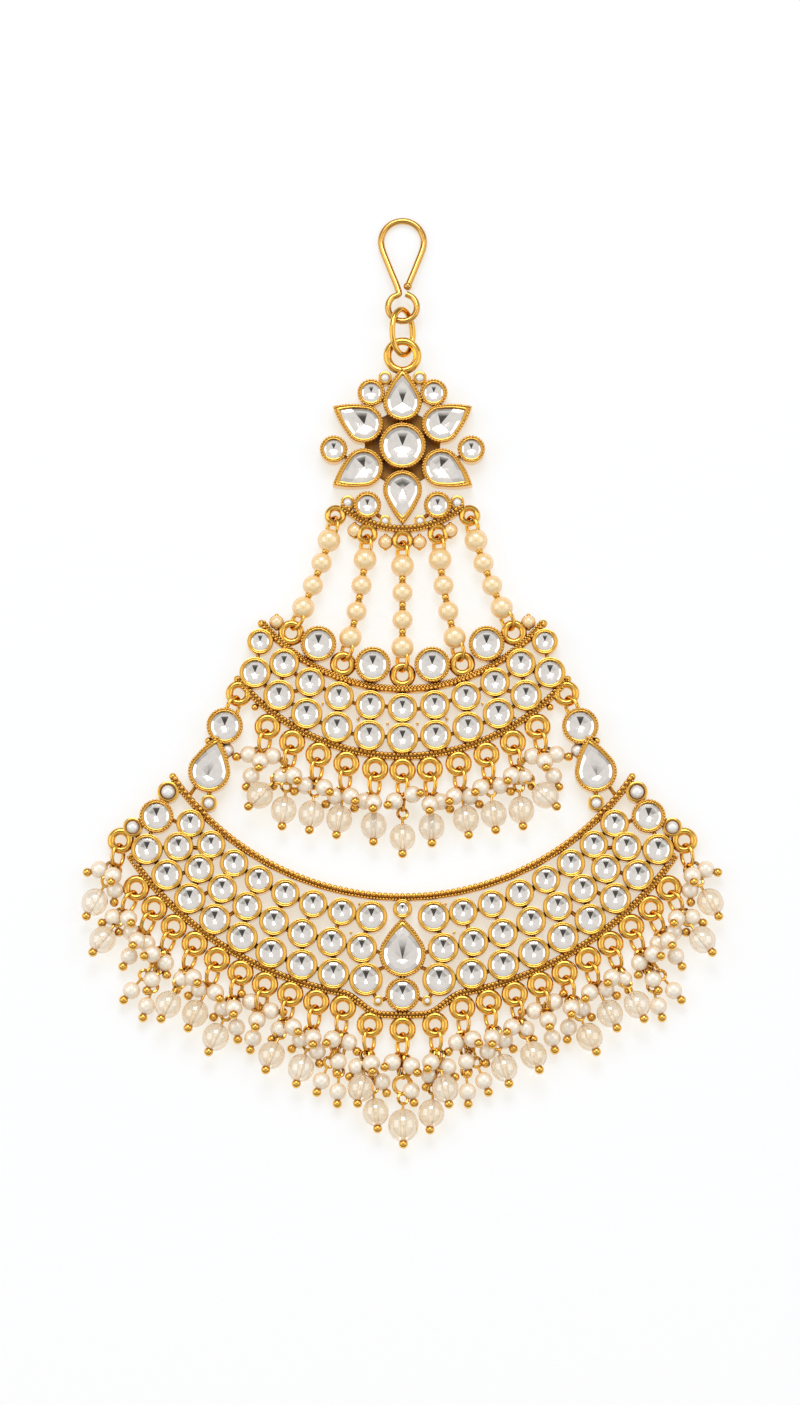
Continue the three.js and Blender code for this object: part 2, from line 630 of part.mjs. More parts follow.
function fringeDrop({ place, hang, side }, items) {
  const away = radians(hang);
  const along = new THREE.Vector3(Math.sin(away), -Math.cos(away), 0);
  const eye = new THREE.Vector3(place.x, place.y, EYE_HEIGHT);
  return join([
    eyeLink(eye, along, side * LINK.roll, EYE.radius),
    solid(new THREE.OctahedronGeometry(KNOT).translate(...items[0].root)),
    ...items.map(beadOnPin),
  ]);
}

// ---- the whole ----
const passa = new THREE.Group();

function addPiece(name, part, look) {
  const mesh = new THREE.Mesh(geometryOf(part), new THREE.MeshStandardMaterial(look));
  mesh.name = name;
  passa.add(mesh);
}

addPiece('hook', hook(), brass);
addPiece('jump_ring', jumpRing(), brass);
addPiece('rosette_frame', rosetteFrame(), brass);
addPiece('rosette_stone_centre', roundStone({ x: 0, y: 0 }, ROSETTE.centre), glass);
petalTurns().forEach((turn, index) => {
  addPiece(`petal_stone_${index + 1}`, pearStone(ROSETTE.petal, ...petalPlace(turn), turn), glass);
});
ROSETTE.eyes.angles.forEach((_, index) => {
  addPiece(`pearl_strand_${index + 1}`, pearlStrand(index), beads);
});
addPiece('upper_crescent_frame', upperCrescent(), brass);
UPPER.crown.angles.forEach((angle, index) => {
  addPiece(`crown_stone_${index + 1}`, roundStone(arcPoint(UPPER.crown, angle), UPPER.crown.bezel), glass);
});
addPiece('lower_crescent_frame', lowerCrescent(), brass);
addPiece('pear_stone_centre', pearStone(LOWER.pear, ...centrePearPlace(), 0), glass);
[-1, 1].forEach((side, index) => {
  const stone = pearStone(LOWER.arm_pear, ...armPearPlace(side), side * LOWER.arm_pear.turn);
  addPiece(`arm_stone_${index + 1}`, stone, glass);
});

function addFringe(name, eyes, bunches) {
  const items = settle(hangBeads(eyes, bunches));
  eyes.forEach((eye, drop) => {
    addPiece(`${name}_${drop + 1}`, fringeDrop(eye, items.filter((bead) => bead.drop === drop)), beads);
  });
}

addFringe('upper_drop', upperEyes, UPPER_BUNCHES);
addFringe('lower_drop', lowerEyes, LOWER_BUNCHES);

// the origin is the middle of the box's underside
const box = new THREE.Box3().setFromObject(passa, true);
const middle = box.getCenter(new THREE.Vector3());
passa.position.set(-middle.x, -middle.y, -box.min.z);
passa.updateMatrixWorld(true);

export default passa;
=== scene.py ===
# %% [markdown]
# # Finishing a passa in Blender
# A passa is a fan-shaped hair ornament that is pinned to one side of the head. This one is cast in
# brass, gold-plated, and set with foil-backed glass stones, with strings of pearls and a fringe of
# beads. The frame that is loaded here has the right sizes and places but only plain solids. This
# lesson makes each piece again with its real edges, beads and stones, in the same place and size.

# %% Load the frame
import math

import bmesh
import bpy
import numpy as np
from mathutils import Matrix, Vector


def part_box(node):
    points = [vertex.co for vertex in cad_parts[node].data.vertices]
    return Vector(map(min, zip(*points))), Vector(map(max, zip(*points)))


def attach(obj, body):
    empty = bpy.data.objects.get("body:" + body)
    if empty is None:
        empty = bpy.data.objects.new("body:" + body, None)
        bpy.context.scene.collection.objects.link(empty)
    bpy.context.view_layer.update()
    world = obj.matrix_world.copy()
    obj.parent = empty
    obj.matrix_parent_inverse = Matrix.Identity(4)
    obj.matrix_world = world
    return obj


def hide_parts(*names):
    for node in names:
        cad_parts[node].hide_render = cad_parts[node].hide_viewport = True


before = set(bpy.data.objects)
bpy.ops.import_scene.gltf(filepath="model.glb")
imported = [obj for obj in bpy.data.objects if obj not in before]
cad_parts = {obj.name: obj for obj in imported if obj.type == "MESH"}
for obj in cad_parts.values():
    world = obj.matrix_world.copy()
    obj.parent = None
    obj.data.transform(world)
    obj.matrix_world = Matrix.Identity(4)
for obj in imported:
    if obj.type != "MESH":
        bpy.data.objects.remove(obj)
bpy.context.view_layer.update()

print("frame:", len(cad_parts), "nodes")

# %% [markdown]
# ## Where to measure from
# A jeweller draws such a piece from the middle of its main flower. The same is done here: all
# places below are in millimetres from the middle of the flower's round stone, and one line turns
# them into the frame's metres. That middle is read from the frame, so nothing has to be fitted.

# %% The datum
MM = 0.001
low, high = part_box("rosette_stone_centre")
DATUM = np.array([(low.x + high.x) / 2, (low.y + high.y) / 2, 0.0])
print("middle of the flower at", np.round(DATUM / MM, 2), "mm")

# %% [markdown]
# ## Shapes from rings of points
# Nearly everything in jewellery is a section carried along a line: a bezel is a wall carried round
# a stone, a link is a wire carried round an oval, a bead is a row of circles. So one function skins
# rings of points, and the others only work out the rings. Arrays make thousands of small grains
# quick to place, where one object for each grain would be slow.

# %% Skin and copies
def skin(rings, closed=False, ends=(None, None), smooth=True):
    """Faces between rings of points. An end that is a point is closed with a fan to it."""
    rings = np.asarray(rings, float)
    rows, around = rings.shape[:2]
    index = np.arange(rows * around).reshape(rows, around)
    loop = np.vstack([index, index[:1]]) if closed else index
    following = np.roll(loop, -1, axis=1)
    faces = [np.stack([loop[:-1], following[:-1], following[1:], loop[1:]], axis=-1).reshape(-1, 4)]
    points = [rings.reshape(-1, 3)]
    for ring, end in ((index[0], ends[0]), (index[-1], ends[1])):
        if end is not None:
            middle = sum(len(some) for some in points)
            points.append(np.reshape(end, (1, 3)))
            faces.append(np.stack([ring, np.roll(ring, -1), np.full(around, middle)], axis=-1))
    return {"points": np.vstack(points), "faces": faces, "smooth": smooth}


def copies(shape, places, frames=None):
    """The same shape at each place, turned by a 3 x 3 frame."""
    places = np.reshape(places, (-1, 3))
    count = len(places)
    frames = np.broadcast_to(np.eye(3) if frames is None else frames, (count, 3, 3))
    points = np.einsum("nij,vj->nvi", frames, shape["points"]) + places[:, None]
    shift = (np.arange(count) * len(shape["points"]))[:, None, None]
    faces = [(face[None] + shift).reshape(-1, face.shape[1]) for face in shape["faces"]]
    return {"points": points.reshape(-1, 3), "faces": faces, "smooth": shape["smooth"]}


def circle(radius, count, start=0.0):
    """Points of a circle in a plane."""
    turn = start + 2 * np.pi * np.arange(count) / count
    return radius * np.stack([np.cos(turn), np.sin(turn)], axis=-1)


def at_height(flat, height):
    """Places in the plane, set at a height."""
    return np.column_stack([flat, np.full(len(flat), height)])


tube = skin([at_height(circle(1.0, 8), height) for height in (0.0, 1.0)])
print("an open tube of 8 sides:", len(tube["points"]), "points,", len(tube["faces"][0]), "faces")

# %% [markdown]
# ## A section carried along a line
# To carry a section along a bent line, each ring needs to know which way is sideways there. The
# line's own direction and an "up" that the part keeps give it, so the section never twists.

# %% Sweep
def unit(vectors):
    """Vectors made one long."""
    vectors = np.asarray(vectors, float)
    return vectors / np.linalg.norm(vectors, axis=-1, keepdims=True)


def sweep(path, section, up=(0, 0, 1), closed=False):
    """A section of (sideways, upwards) points carried along a path."""
    path = np.asarray(path, float)
    if closed:
        along = unit(np.roll(path, -1, axis=0) - np.roll(path, 1, axis=0))
    else:
        along = unit(np.gradient(path, axis=0))
    side = unit(np.cross(along, up))
    rise = np.cross(side, along)
    section = np.asarray(section, float)
    rings = path[:, None] + side[:, None] * section[:, :1] + rise[:, None] * section[:, 1:]
    return skin(rings, closed=closed, ends=(None, None) if closed else (path[0], path[-1]))


print("a swept bar has", len(sweep([(0, 0, 0), (0, 1, 0)], circle(1.0, 8))["points"]), "points")

# %% [markdown]
# ## Wire, balls and turned parts
# A goldsmith's stock is wire, little balls and turned cups. A wire is a circle carried along a
# path, a ball is a stack of circles, and a cup is an outline drawn in step by step as it rises.

# %% Wire, balls and stacks
WIRE_SIDES = 10


def wire(path, radius, up=(0, 0, 1), closed=False, sides=WIRE_SIDES):
    """Round wire along a path."""
    return sweep(path, circle(radius, sides), up, closed)


def ball(radius, sides=16, rows=9):
    """A ball round the origin, with its poles up and down."""
    rings = [at_height(circle(radius * math.sin(turn), sides), -radius * math.cos(turn))
             for turn in np.pi * np.arange(1, rows) / rows]
    return skin(rings, ends=((0, 0, -radius), (0, 0, radius)))


def stack(outline, profile, ends=(None, None), smooth=True):
    """Rings of an outline, drawn in by each inset of the profile and set at each height."""
    rings = [at_height(outline(inset), height) for inset, height in profile]
    return skin(rings, ends=ends, smooth=smooth)


def oval(half_width, half_length, count=28):
    """An oval ring's middle line, long along Y."""
    return at_height(circle(1.0, count) * (half_width, half_length), 0.0)


print("a plain ball has", len(ball(1.0)["points"]), "points")

# %% [markdown]
# ## Turning a part to its place
# A link is drawn lying along Y and a bead standing along Z, because that is easy to picture. A
# frame of three directions then turns each to the way that it really lies.

# %% Frames
ASKEW = (0.31, 0.17, 0.93)   # measures the turn about Z, since few parts lie along it
STEEP = 0.9                  # a direction that rises more than this is too near to ASKEW


def turned_frame(along, roll=0.0):
    """A frame whose Y axis is a direction in the plane of the floor, rolled about it."""
    y = unit(np.append(np.asarray(along, float)[:2], 0.0))
    x = np.array([y[1], -y[0], 0.0])
    z = np.array([0.0, 0.0, 1.0])
    c, s = math.cos(math.radians(roll)), math.sin(math.radians(roll))
    return np.column_stack([c * x - s * z, y, s * x + c * z])


def frame_along(direction):
    """A frame whose Z axis is a direction."""
    z = unit(direction)
    x = unit(np.cross(ASKEW if abs(z[2]) < STEEP else (1.0, 0.0, 0.0), z))
    return np.column_stack([x, np.cross(z, x), z])


print("a link rolled by 55 degrees faces", np.round(turned_frame((0, 1), 55)[:, 2], 2))

# %% [markdown]
# ## Colours and nodes
# Colours are read off as the sRGB hex values of a paint program, but Blender reckons with linear
# light, so one function turns them. Another small one adds a node, sets it and links it, which
# keeps each material below short enough to read as a recipe.

# %% Colour and node helpers
def linear(hex_colour):
    """An sRGB hex colour as linear red, green, blue and alpha."""
    values = [int(hex_colour[place:place + 2], 16) / 255 for place in (1, 3, 5)]
    return (*[v / 12.92 if v <= 0.04045 else ((v + 0.055) / 1.055) ** 2.4 for v in values], 1.0)


def add(tree, kind, sets):
    """A new shader node. Each key is an attribute or a socket; a socket as the value is linked."""
    node = tree.nodes.new("ShaderNode" + kind)
    for key, value in sets.items():
        if isinstance(key, str) and hasattr(node, key):
            setattr(node, key, value)
        elif isinstance(value, bpy.types.NodeSocket):
            tree.links.new(value, node.inputs[key])
        else:
            node.inputs[key].default_value = value
    return node


def new_material(name):
    """An empty node material and its tree."""
    material = bpy.data.materials.new(name)
    material.use_nodes = True
    material.node_tree.nodes.clear()
    return material, material.node_tree


def per_mm(size):
    """The scale that gives a texture features of this many millimetres."""
    return 1.0 / (size * MM)


print("middle grey in linear light:", round(linear("#808080")[0], 3))

# %% [markdown]
# ## Gold plate on cast brass
# The metal is brass, cast in a rubber mould, tumbled bright and plated with yellow gold. Casting
# leaves it faintly uneven, and tumbling rounds and polishes what stands out. The colour is painted
# darker and browner where the surface is closed in, which is painted shade in the hollows; the
# shine varies a little in patches, and a very low bump stands for the casting skin. The plate
# behind the flower lies deep and stays matt, and its colour is painted a darker, browner gold all
# over: painted shade for the deep gaps round the centre stone.

# %% Cast gold plate
GOLD = "#f3bc50"
# the colour that the hollows are painted towards, as painted shade
GOLD_PAINTED_SHADE = "#8e4c0a"
LACQUER = 0.5            # share of the clear lacquer that keeps the plate from rubbing off
PATCH = 4                # patches of shine are this many times as wide as the casting's grain


def plated(name, roughness, skin_size, skin_height, shade_reach, bright=GOLD, deep=GOLD_PAINTED_SHADE):
    """Gold plate over a faintly uneven skin, with painted shade in the hollows. Sizes are in
    millimetres.
    """
    material, tree = new_material(name)
    place = add(tree, "TexCoord", {}).outputs["Object"]
    # painted shade: where ambient occlusion finds the surface closed in, the colour turns to the
    # shade colour
    hollow = add(tree, "AmbientOcclusion", {"samples": 4, "Distance": shade_reach * MM})
    depth = add(tree, "MapRange", {"Value": hollow.outputs["AO"], "From Min": 0.2, "From Max": 1.0})
    colour = add(tree, "Mix", {"data_type": "RGBA", 0: depth.outputs[0],
                               6: linear(deep), 7: linear(bright)})
    patches = add(tree, "TexNoise", {"Vector": place, "Scale": per_mm(skin_size * PATCH),
                                     "Detail": 2.0})
    shine = add(tree, "MapRange", {"Value": patches.outputs[0], "From Min": 0.3, "From Max": 0.7,
                                   "To Min": roughness * 0.75, "To Max": roughness * 1.35})
    grain = add(tree, "TexNoise", {"Vector": place, "Scale": per_mm(skin_size), "Detail": 3.0})
    bump = add(tree, "Bump", {"Height": grain.outputs[0], "Distance": skin_height * MM,
                              "Strength": 1.0})
    shader = add(tree, "BsdfPrincipled", {
        "Base Color": colour.outputs[2], "Metallic": 1.0, "Roughness": shine.outputs[0],
        "Coat Weight": LACQUER, "Coat Roughness": 0.06, "Normal": bump.outputs[0]})
    add(tree, "OutputMaterial", {"Surface": shader.outputs[0]})
    return material


cast_gold = plated("cast_gold_plate", roughness=0.16, skin_size=0.35, skin_height=0.01,
                   shade_reach=0.6)
# the sunk plate's darker, browner colours are painted shade for the deep gaps round the centre
# stone
sunk_shaded_gold = plated("sunk_shaded_gold_plate", roughness=0.5, skin_size=0.35,
                   skin_height=0.02, shade_reach=2.0, bright="#b98a38", deep="#855716")
print("made", cast_gold.name, "and", sunk_shaded_gold.name)

# %% [markdown]
# ## Drawn gold wire
# The links and the headpins are brass wire, pulled through a die before it is plated. That leaves
# it smoother and brighter than a casting, with only the faintest lengthwise waves, so it is the
# same recipe with a lower roughness and a lower, longer bump. Two of the wires differ. On the rings
# and beads between the pearls the painted shade reaches only right into their corners, so they
# stay bright. The hook is a little rougher, and its colour is painted darker, as shade on its
# shine.

# %% Drawn gold wire
DRAWN_WAVE = 0.9         # millimetres between the waves that the die leaves
drawn_gold = plated("drawn_gold_wire", roughness=0.11, skin_size=DRAWN_WAVE, skin_height=0.008,
                    shade_reach=0.8)
# painted shade with a short reach, so it stays right in the corners of the rings and beads
string_gold = plated("lightly_shaded_gold_rings", roughness=0.14, skin_size=DRAWN_WAVE,
                     skin_height=0.006, shade_reach=0.25)
# the hook's darker colour is painted shade that tones down its bright reflections
darkened_hook_gold = plated("darkened_gold_wire", roughness=0.18, skin_size=DRAWN_WAVE, skin_height=0.008,
                   shade_reach=0.8, bright="#dda850")
print("made", drawn_gold.name, string_gold.name, darkened_hook_gold.name)

# %% [markdown]
# ## Foiled glass
# The stones are pressed glass, flat on top, with silver foil behind. The glass is so thin and clear
# that the eye sees the foil's faces with the gloss of glass over them, and the grey and white
# pattern in a stone is only the room, mirrored by faces that lean different ways. Silver under a
# full clear coat gives both with one surface, and it stays as clean from the side as from above.
# The foil has a slight ripple from being pressed on.

# %% Foiled glass
FOIL_RIPPLE_SIZE = 0.9   # millimetres between ripples
FOIL_RIPPLE = 0.004      # their height


def foiled_glass():
    """Silver foil seen through clear glass."""
    material, tree = new_material("foiled_clear_glass")
    place = add(tree, "TexCoord", {}).outputs["Object"]
    ripple = add(tree, "TexNoise", {"Vector": place, "Scale": per_mm(FOIL_RIPPLE_SIZE),
                                    "Detail": 1.0})
    tint = add(tree, "Mix", {"data_type": "RGBA", 0: ripple.outputs[0],
                             6: linear("#e6e0d9"), 7: linear("#fcf8f2")})
    bump = add(tree, "Bump", {"Height": ripple.outputs[0], "Distance": FOIL_RIPPLE * MM})
    shader = add(tree, "BsdfPrincipled", {
        "Base Color": tint.outputs[2], "Metallic": 1.0, "Roughness": 0.11,
        "Coat Weight": 1.0, "Coat Roughness": 0.02, "Coat IOR": 1.52, "Normal": bump.outputs[0]})
    add(tree, "OutputMaterial", {"Surface": shader.outputs[0]})
    return material


stone_glass = foiled_glass()
print("made", stone_glass.name)

# %% [markdown]
# ## Champagne glass beads
# The larger beads of the fringe are clear moulded glass with a breath of peach in it, so the pin
# shows through and the floor behind shines in the bead. The tint is slight, and drifts from bead to
# bead and inside each, as the colour of cheap glass does. Towards the rim it turns amber: partly
# the tint of the thicker glass there, and partly a painted reflection of the gold round the bead.
# Real glass casts a pale shadow with light in it, so shadow rays pass through a clear shader of the
# same tint, which saves waiting for the light to find its way.

# %% Bead glass
GLASS_IOR = 1.47
LUSTRE_IOR = 2.1         # a thin lustre is baked on, with brighter highlights than bare glass


def champagne_glass():
    """Clear glass with a warm rim that is partly painted reflection, that lets lamps through to
    what is under it.
    """
    material, tree = new_material("champagne_bead_glass")
    place = add(tree, "TexCoord", {}).outputs["Object"]
    cloud = add(tree, "TexNoise", {"Vector": place, "Scale": per_mm(6.0), "Detail": 1.0})
    drift = add(tree, "MapRange", {"Value": cloud.outputs[0], "From Min": 0.35, "From Max": 0.65})
    tint = add(tree, "Mix", {"data_type": "RGBA", 0: drift.outputs[0],
                             6: linear("#f8ecd6"), 7: linear("#fdfaf3")})
    # amber towards the rim: partly thicker glass, partly painted reflection of the gold round the
    # bead
    rim = add(tree, "LayerWeight", {"Blend": 0.45})
    colour = add(tree, "Mix", {"data_type": "RGBA", 0: rim.outputs["Facing"],
                               6: tint.outputs[2], 7: linear("#dca65a")})
    shader = add(tree, "BsdfPrincipled", {
        "Base Color": colour.outputs[2], "Roughness": 0.02, "IOR": GLASS_IOR,
        "Transmission Weight": 0.95, "Coat Weight": 1.0, "Coat Roughness": 0.02,
        "Coat IOR": LUSTRE_IOR})
    shade = add(tree, "BsdfTransparent", {"Color": tint.outputs[2]})
    path = add(tree, "LightPath", {})
    both = add(tree, "MixShader", {0: path.outputs["Is Shadow Ray"], 1: shader.outputs[0],
                                   2: shade.outputs[0]})
    add(tree, "OutputMaterial", {"Surface": both.outputs[0]})
    return material


bead_glass = champagne_glass()
print("made", bead_glass.name)

# %% [markdown]
# ## The hole through a bead
# The hole for the pin is drilled, and the drill leaves its wall white and matt with fine scratches.
# It is what the eye sees as the pale line down the middle of a clear bead.

# %% Drilled bore
def drilled_bore():
    """The white, matt wall of a drilled hole."""
    material, tree = new_material("drilled_glass_bore")
    place = add(tree, "TexCoord", {}).outputs["Object"]
    scratch = add(tree, "TexNoise", {"Vector": place, "Scale": per_mm(0.4), "Detail": 2.0})
    tint = add(tree, "Mix", {"data_type": "RGBA", 0: scratch.outputs[0],
                             6: linear("#f1dfc4"), 7: linear("#fdf8ef")})
    shader = add(tree, "BsdfPrincipled", {"Base Color": tint.outputs[2], "Roughness": 0.5})
    add(tree, "OutputMaterial", {"Surface": shader.outputs[0]})
    return material


bead_bore = drilled_bore()
print("made", bead_bore.name)

# %% [markdown]
# ## Imitation pearl
# These pearls are glass balls dipped in pearl essence. The coat is soft and pale in the middle and
# turns warmer towards the rim: partly its own tone, seen along more of the coat, and partly a
# painted reflection of the gold round the pearl. Light also goes into the coat and comes out again
# all round, which keeps a pearl's shaded side from going dark: a weak painted glow of its own
# colour does that here. A clear coat on top gives the crisp highlight, and a faint cloudiness keeps
# each from being even.

# %% Pearl coats
RIM_FROM, RIM_TO = 0.16, 0.85    # how far the surface turns away where the rim starts and ends
PEARL_COAT_IOR = 2.3             # the crystals in the essence bend light far more than varnish does
# painted glow: a weak light of the pearl's own colour that keeps its shaded side from going dark
PEARL_PAINTED_GLOW = 0.18                # light that comes out of the coat, as a share of full white
PEARL_CLOUD = 0.004              # height of the cloudiness, in millimetres


def pearl(name, bright, deep, rim, cloud_size):
    """A dipped pearl: cloudy lustrous body, warm rim that is partly painted reflection, a painted
    glow, clear skin.
    """
    material, tree = new_material(name)
    place = add(tree, "TexCoord", {}).outputs["Object"]
    cloud = add(tree, "TexNoise", {"Vector": place, "Scale": per_mm(cloud_size), "Detail": 2.0})
    body = add(tree, "Mix", {"data_type": "RGBA", 0: cloud.outputs[0],
                             6: linear(deep), 7: linear(bright)})
    # warmer towards the rim: partly the coat's own tone, partly painted reflection of the gold
    # round the pearl
    facing = add(tree, "LayerWeight", {"Blend": 0.5})
    edge = add(tree, "MapRange", {"Value": facing.outputs["Facing"],
                                  "From Min": RIM_FROM, "From Max": RIM_TO})
    warm = add(tree, "Mix", {"data_type": "RGBA", 0: edge.outputs[0],
                             6: body.outputs[2], 7: linear(rim)})
    skin_bump = add(tree, "Bump", {"Height": cloud.outputs[0], "Distance": PEARL_CLOUD * MM})
    shader = add(tree, "BsdfPrincipled", {
        "Base Color": warm.outputs[2], "Roughness": 0.3,
        "Emission Color": warm.outputs[2], "Emission Strength": PEARL_PAINTED_GLOW,
        "Coat Weight": 1.0, "Coat Roughness": 0.04, "Coat IOR": PEARL_COAT_IOR,
        "Normal": skin_bump.outputs[0]})
    add(tree, "OutputMaterial", {"Surface": shader.outputs[0]})
    return material


cream_pearl = pearl("cream_pearl_coat", "#f3d9a6", "#ebcc92", "#e5a540", 1.2)
ivory_pearl = pearl("ivory_pearl_coat", "#f4ebdb", "#ebe0ca", "#d8aa66", 1.0)
grey_pearl = pearl("grey_seed_pearl_coat", "#eeedea", "#dddbd7", "#8c6f42", 0.7)
print("made", cream_pearl.name, ivory_pearl.name, grey_pearl.name)

# %% [markdown]
# ## Making a piece
# Each piece is one joined mesh that may hold more than one finish. It rides on the frame's single
# body and stands for the plain solids that it takes the place of, which it hides. Normals are
# turned outwards, and edges sharper than a set angle stay crisp.

# %% Make a piece
CRISP_ANGLE = math.radians(38)


def make_piece(name, layers, slot, *nodes):
    """One mesh object from layers of (material, shapes), in place of the named nodes."""
    mesh = bpy.data.meshes.new(name)
    points, faces, finish, smooth = [], [], [], []
    start = 0
    for number, (material, shapes) in enumerate(layers):
        mesh.materials.append(material)
        for shape in shapes:
            for face in shape["faces"]:
                faces.extend((face + start).tolist())
                finish.extend([number] * len(face))
                smooth.extend([shape["smooth"]] * len(face))
            points.append(shape["points"])
            start += len(shape["points"])
    mesh.from_pydata((np.vstack(points) * MM + DATUM).tolist(), [], faces)
    mesh.polygons.foreach_set("material_index", finish)
    mesh.polygons.foreach_set("use_smooth", smooth)
    work = bmesh.new()
    work.from_mesh(mesh)
    bmesh.ops.recalc_face_normals(work, faces=work.faces)
    work.to_mesh(mesh)
    work.free()
    mesh.set_sharp_from_angle(angle=CRISP_ANGLE)
    piece = bpy.data.objects.new(name, mesh)
    bpy.context.scene.collection.objects.link(piece)
    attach(piece, "root")
    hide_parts(*nodes)
    triangles = sum(len(face) - 2 for face in faces)
    print(f"{name}: {triangles} triangles")
    return piece


print("edges over", round(math.degrees(CRISP_ANGLE)), "degrees stay crisp")

# %% [markdown]
# ## Camera
# The ornament lies on a pale sheet and is seen from nearly overhead, where its whole fan shows. A
# long lens from far away keeps its two ends the same size. The camera is aimed at a place in the
# frame's own measures, so it stays right if the ornament is moved.

# %% Camera
VIEW_TILT = 80.0          # degrees above the floor
LENS = 150.0              # millimetres
SENSOR = 36.0             # long side, millimetres
SEEN_LENGTH = 224.8       # how much of the floor the long side takes in, millimetres
AIM = np.array([-0.4, -41.84, 1.5])


def add_camera():
    """A long lens aimed at the middle of the ornament."""
    data = bpy.data.cameras.new("camera")
    data.lens = LENS
    data.sensor_width = SENSOR
    tilt = math.radians(VIEW_TILT)
    back = Vector((0.0, -math.cos(tilt), math.sin(tilt)))
    camera = bpy.data.objects.new("camera", data)
    camera.location = Vector(AIM * MM + DATUM) + back * (SEEN_LENGTH * MM * LENS / SENSOR)
    camera.rotation_mode = "QUATERNION"
    camera.rotation_quaternion = (-back).to_track_quat("-Z", "Y")
    bpy.context.scene.collection.objects.link(camera)
    bpy.context.scene.camera = camera
    return camera


camera = add_camera()
print("camera", round(camera.location.length, 3), "m away")

# %% [markdown]
# ## Floor
# Openwork jewellery is often laid on a sheet of opal plastic with light under it, so that its
# shadows stay soft and pale. The sheet here glows with a warm light of its own, and its colour is
# a cool grey, so that under the room's light the open floor comes out white while the shadows and
# the gaps in the openwork stay warm.

# %% Floor
FLOOR_SIDE = 4.0          # metres
FLOOR_DROP = 0.03 * MM    # just under the lowest metal, so that the two don't share a plane
TABLE_GRAIN = 0.6         # millimetres, coarser than the real sheet's so that it shows at all
TABLE_GLOW = "#dacebb"    # light that comes up through the sheet and keeps the shadows pale


def add_floor():
    """A sheet of pale opal plastic, lit a little from below."""
    material, tree = new_material("pale_light_table")
    place = add(tree, "TexCoord", {}).outputs["Object"]
    grain = add(tree, "TexNoise", {"Vector": place, "Scale": per_mm(TABLE_GRAIN), "Detail": 2.0})
    tint = add(tree, "Mix", {"data_type": "RGBA", 0: grain.outputs[0],
                             6: linear("#8fa3bc"), 7: linear("#95a9c2")})
    shader = add(tree, "BsdfPrincipled", {
        "Base Color": tint.outputs[2], "Roughness": 0.9, "Specular IOR Level": 0.2,
        "Emission Color": linear(TABLE_GLOW), "Emission Strength": 1.0})
    add(tree, "OutputMaterial", {"Surface": shader.outputs[0]})
    half = FLOOR_SIDE / 2
    mesh = bpy.data.meshes.new("floor")
    corners = [(-half, -half), (half, -half), (half, half), (-half, half)]
    mesh.from_pydata([(x, y, -FLOOR_DROP) for x, y in corners], [], [(0, 1, 2, 3)])
    mesh.materials.append(material)
    floor = bpy.data.objects.new("floor", mesh)
    bpy.context.scene.collection.objects.link(floor)
    return floor


floor = add_floor()
print("floor", FLOOR_SIDE, "m across")

# %% [markdown]
# ## Soft boxes
# Polished gold shows what is round it more than it shows itself. A soft box above and behind draws
# a clean line along every wire and lights one face of every stone, and a wide one on each side
# fills the other flanks. All three are large for their distance, so no shadow has a hard edge.

# %% Soft boxes
SOFT_BOXES = [
    # name, place in metres, sides in metres, watts
    ("box_behind", (0.0, 0.80, 1.02), (0.72, 0.52), 6.2),
    ("box_left", (-0.95, 0.1, 0.6), (0.85, 0.85), 2.6),
    ("box_right", (0.95, 0.1, 0.6), (0.85, 0.85), 2.1),
]


def add_soft_box(name, place, sides, watts):
    """A rectangular soft box aimed at the ornament."""
    data = bpy.data.lights.new(name, "AREA")
    data.shape = "RECTANGLE"
    data.size, data.size_y = sides
    data.energy = watts
    lamp = bpy.data.objects.new(name, data)
    lamp.location = place
    lamp.rotation_mode = "QUATERNION"
    lamp.rotation_quaternion = (-Vector(place)).to_track_quat("-Z", "Y")
    bpy.context.scene.collection.objects.link(lamp)


for box in SOFT_BOXES:
    add_soft_box(*box)
print("lights:", ", ".join(box[0] for box in SOFT_BOXES))

# %% [markdown]
# ## Room
# The rest of what the metal and the stones mirror is a plain room: a pale ceiling, which flat faces
# show, greyer walls for the steep ones, and overhead the dim stand that holds the camera. The stand
# is what gives each stone its one dark face. Both are soft blends over the direction of the light,
# so no edge of the room shows in the metal.

# %% Room
ROOM_TOP = "#e8e7e6"             # pale ceiling
ROOM_SIDES = "#8c8a88"
ROOM_DIM = "#4c4a47"             # the camera stand, a little to the viewer's side
DIM_TOWARDS = (0.0, -0.20, 0.98)
DIM_FROM, DIM_TO = 0.962, 0.988  # how nearly a direction has to match it
# How steeply a direction rises where the sides end, and where the ceiling starts.
SIDES_UP_TO, TOP_FROM = 0.35, 0.85


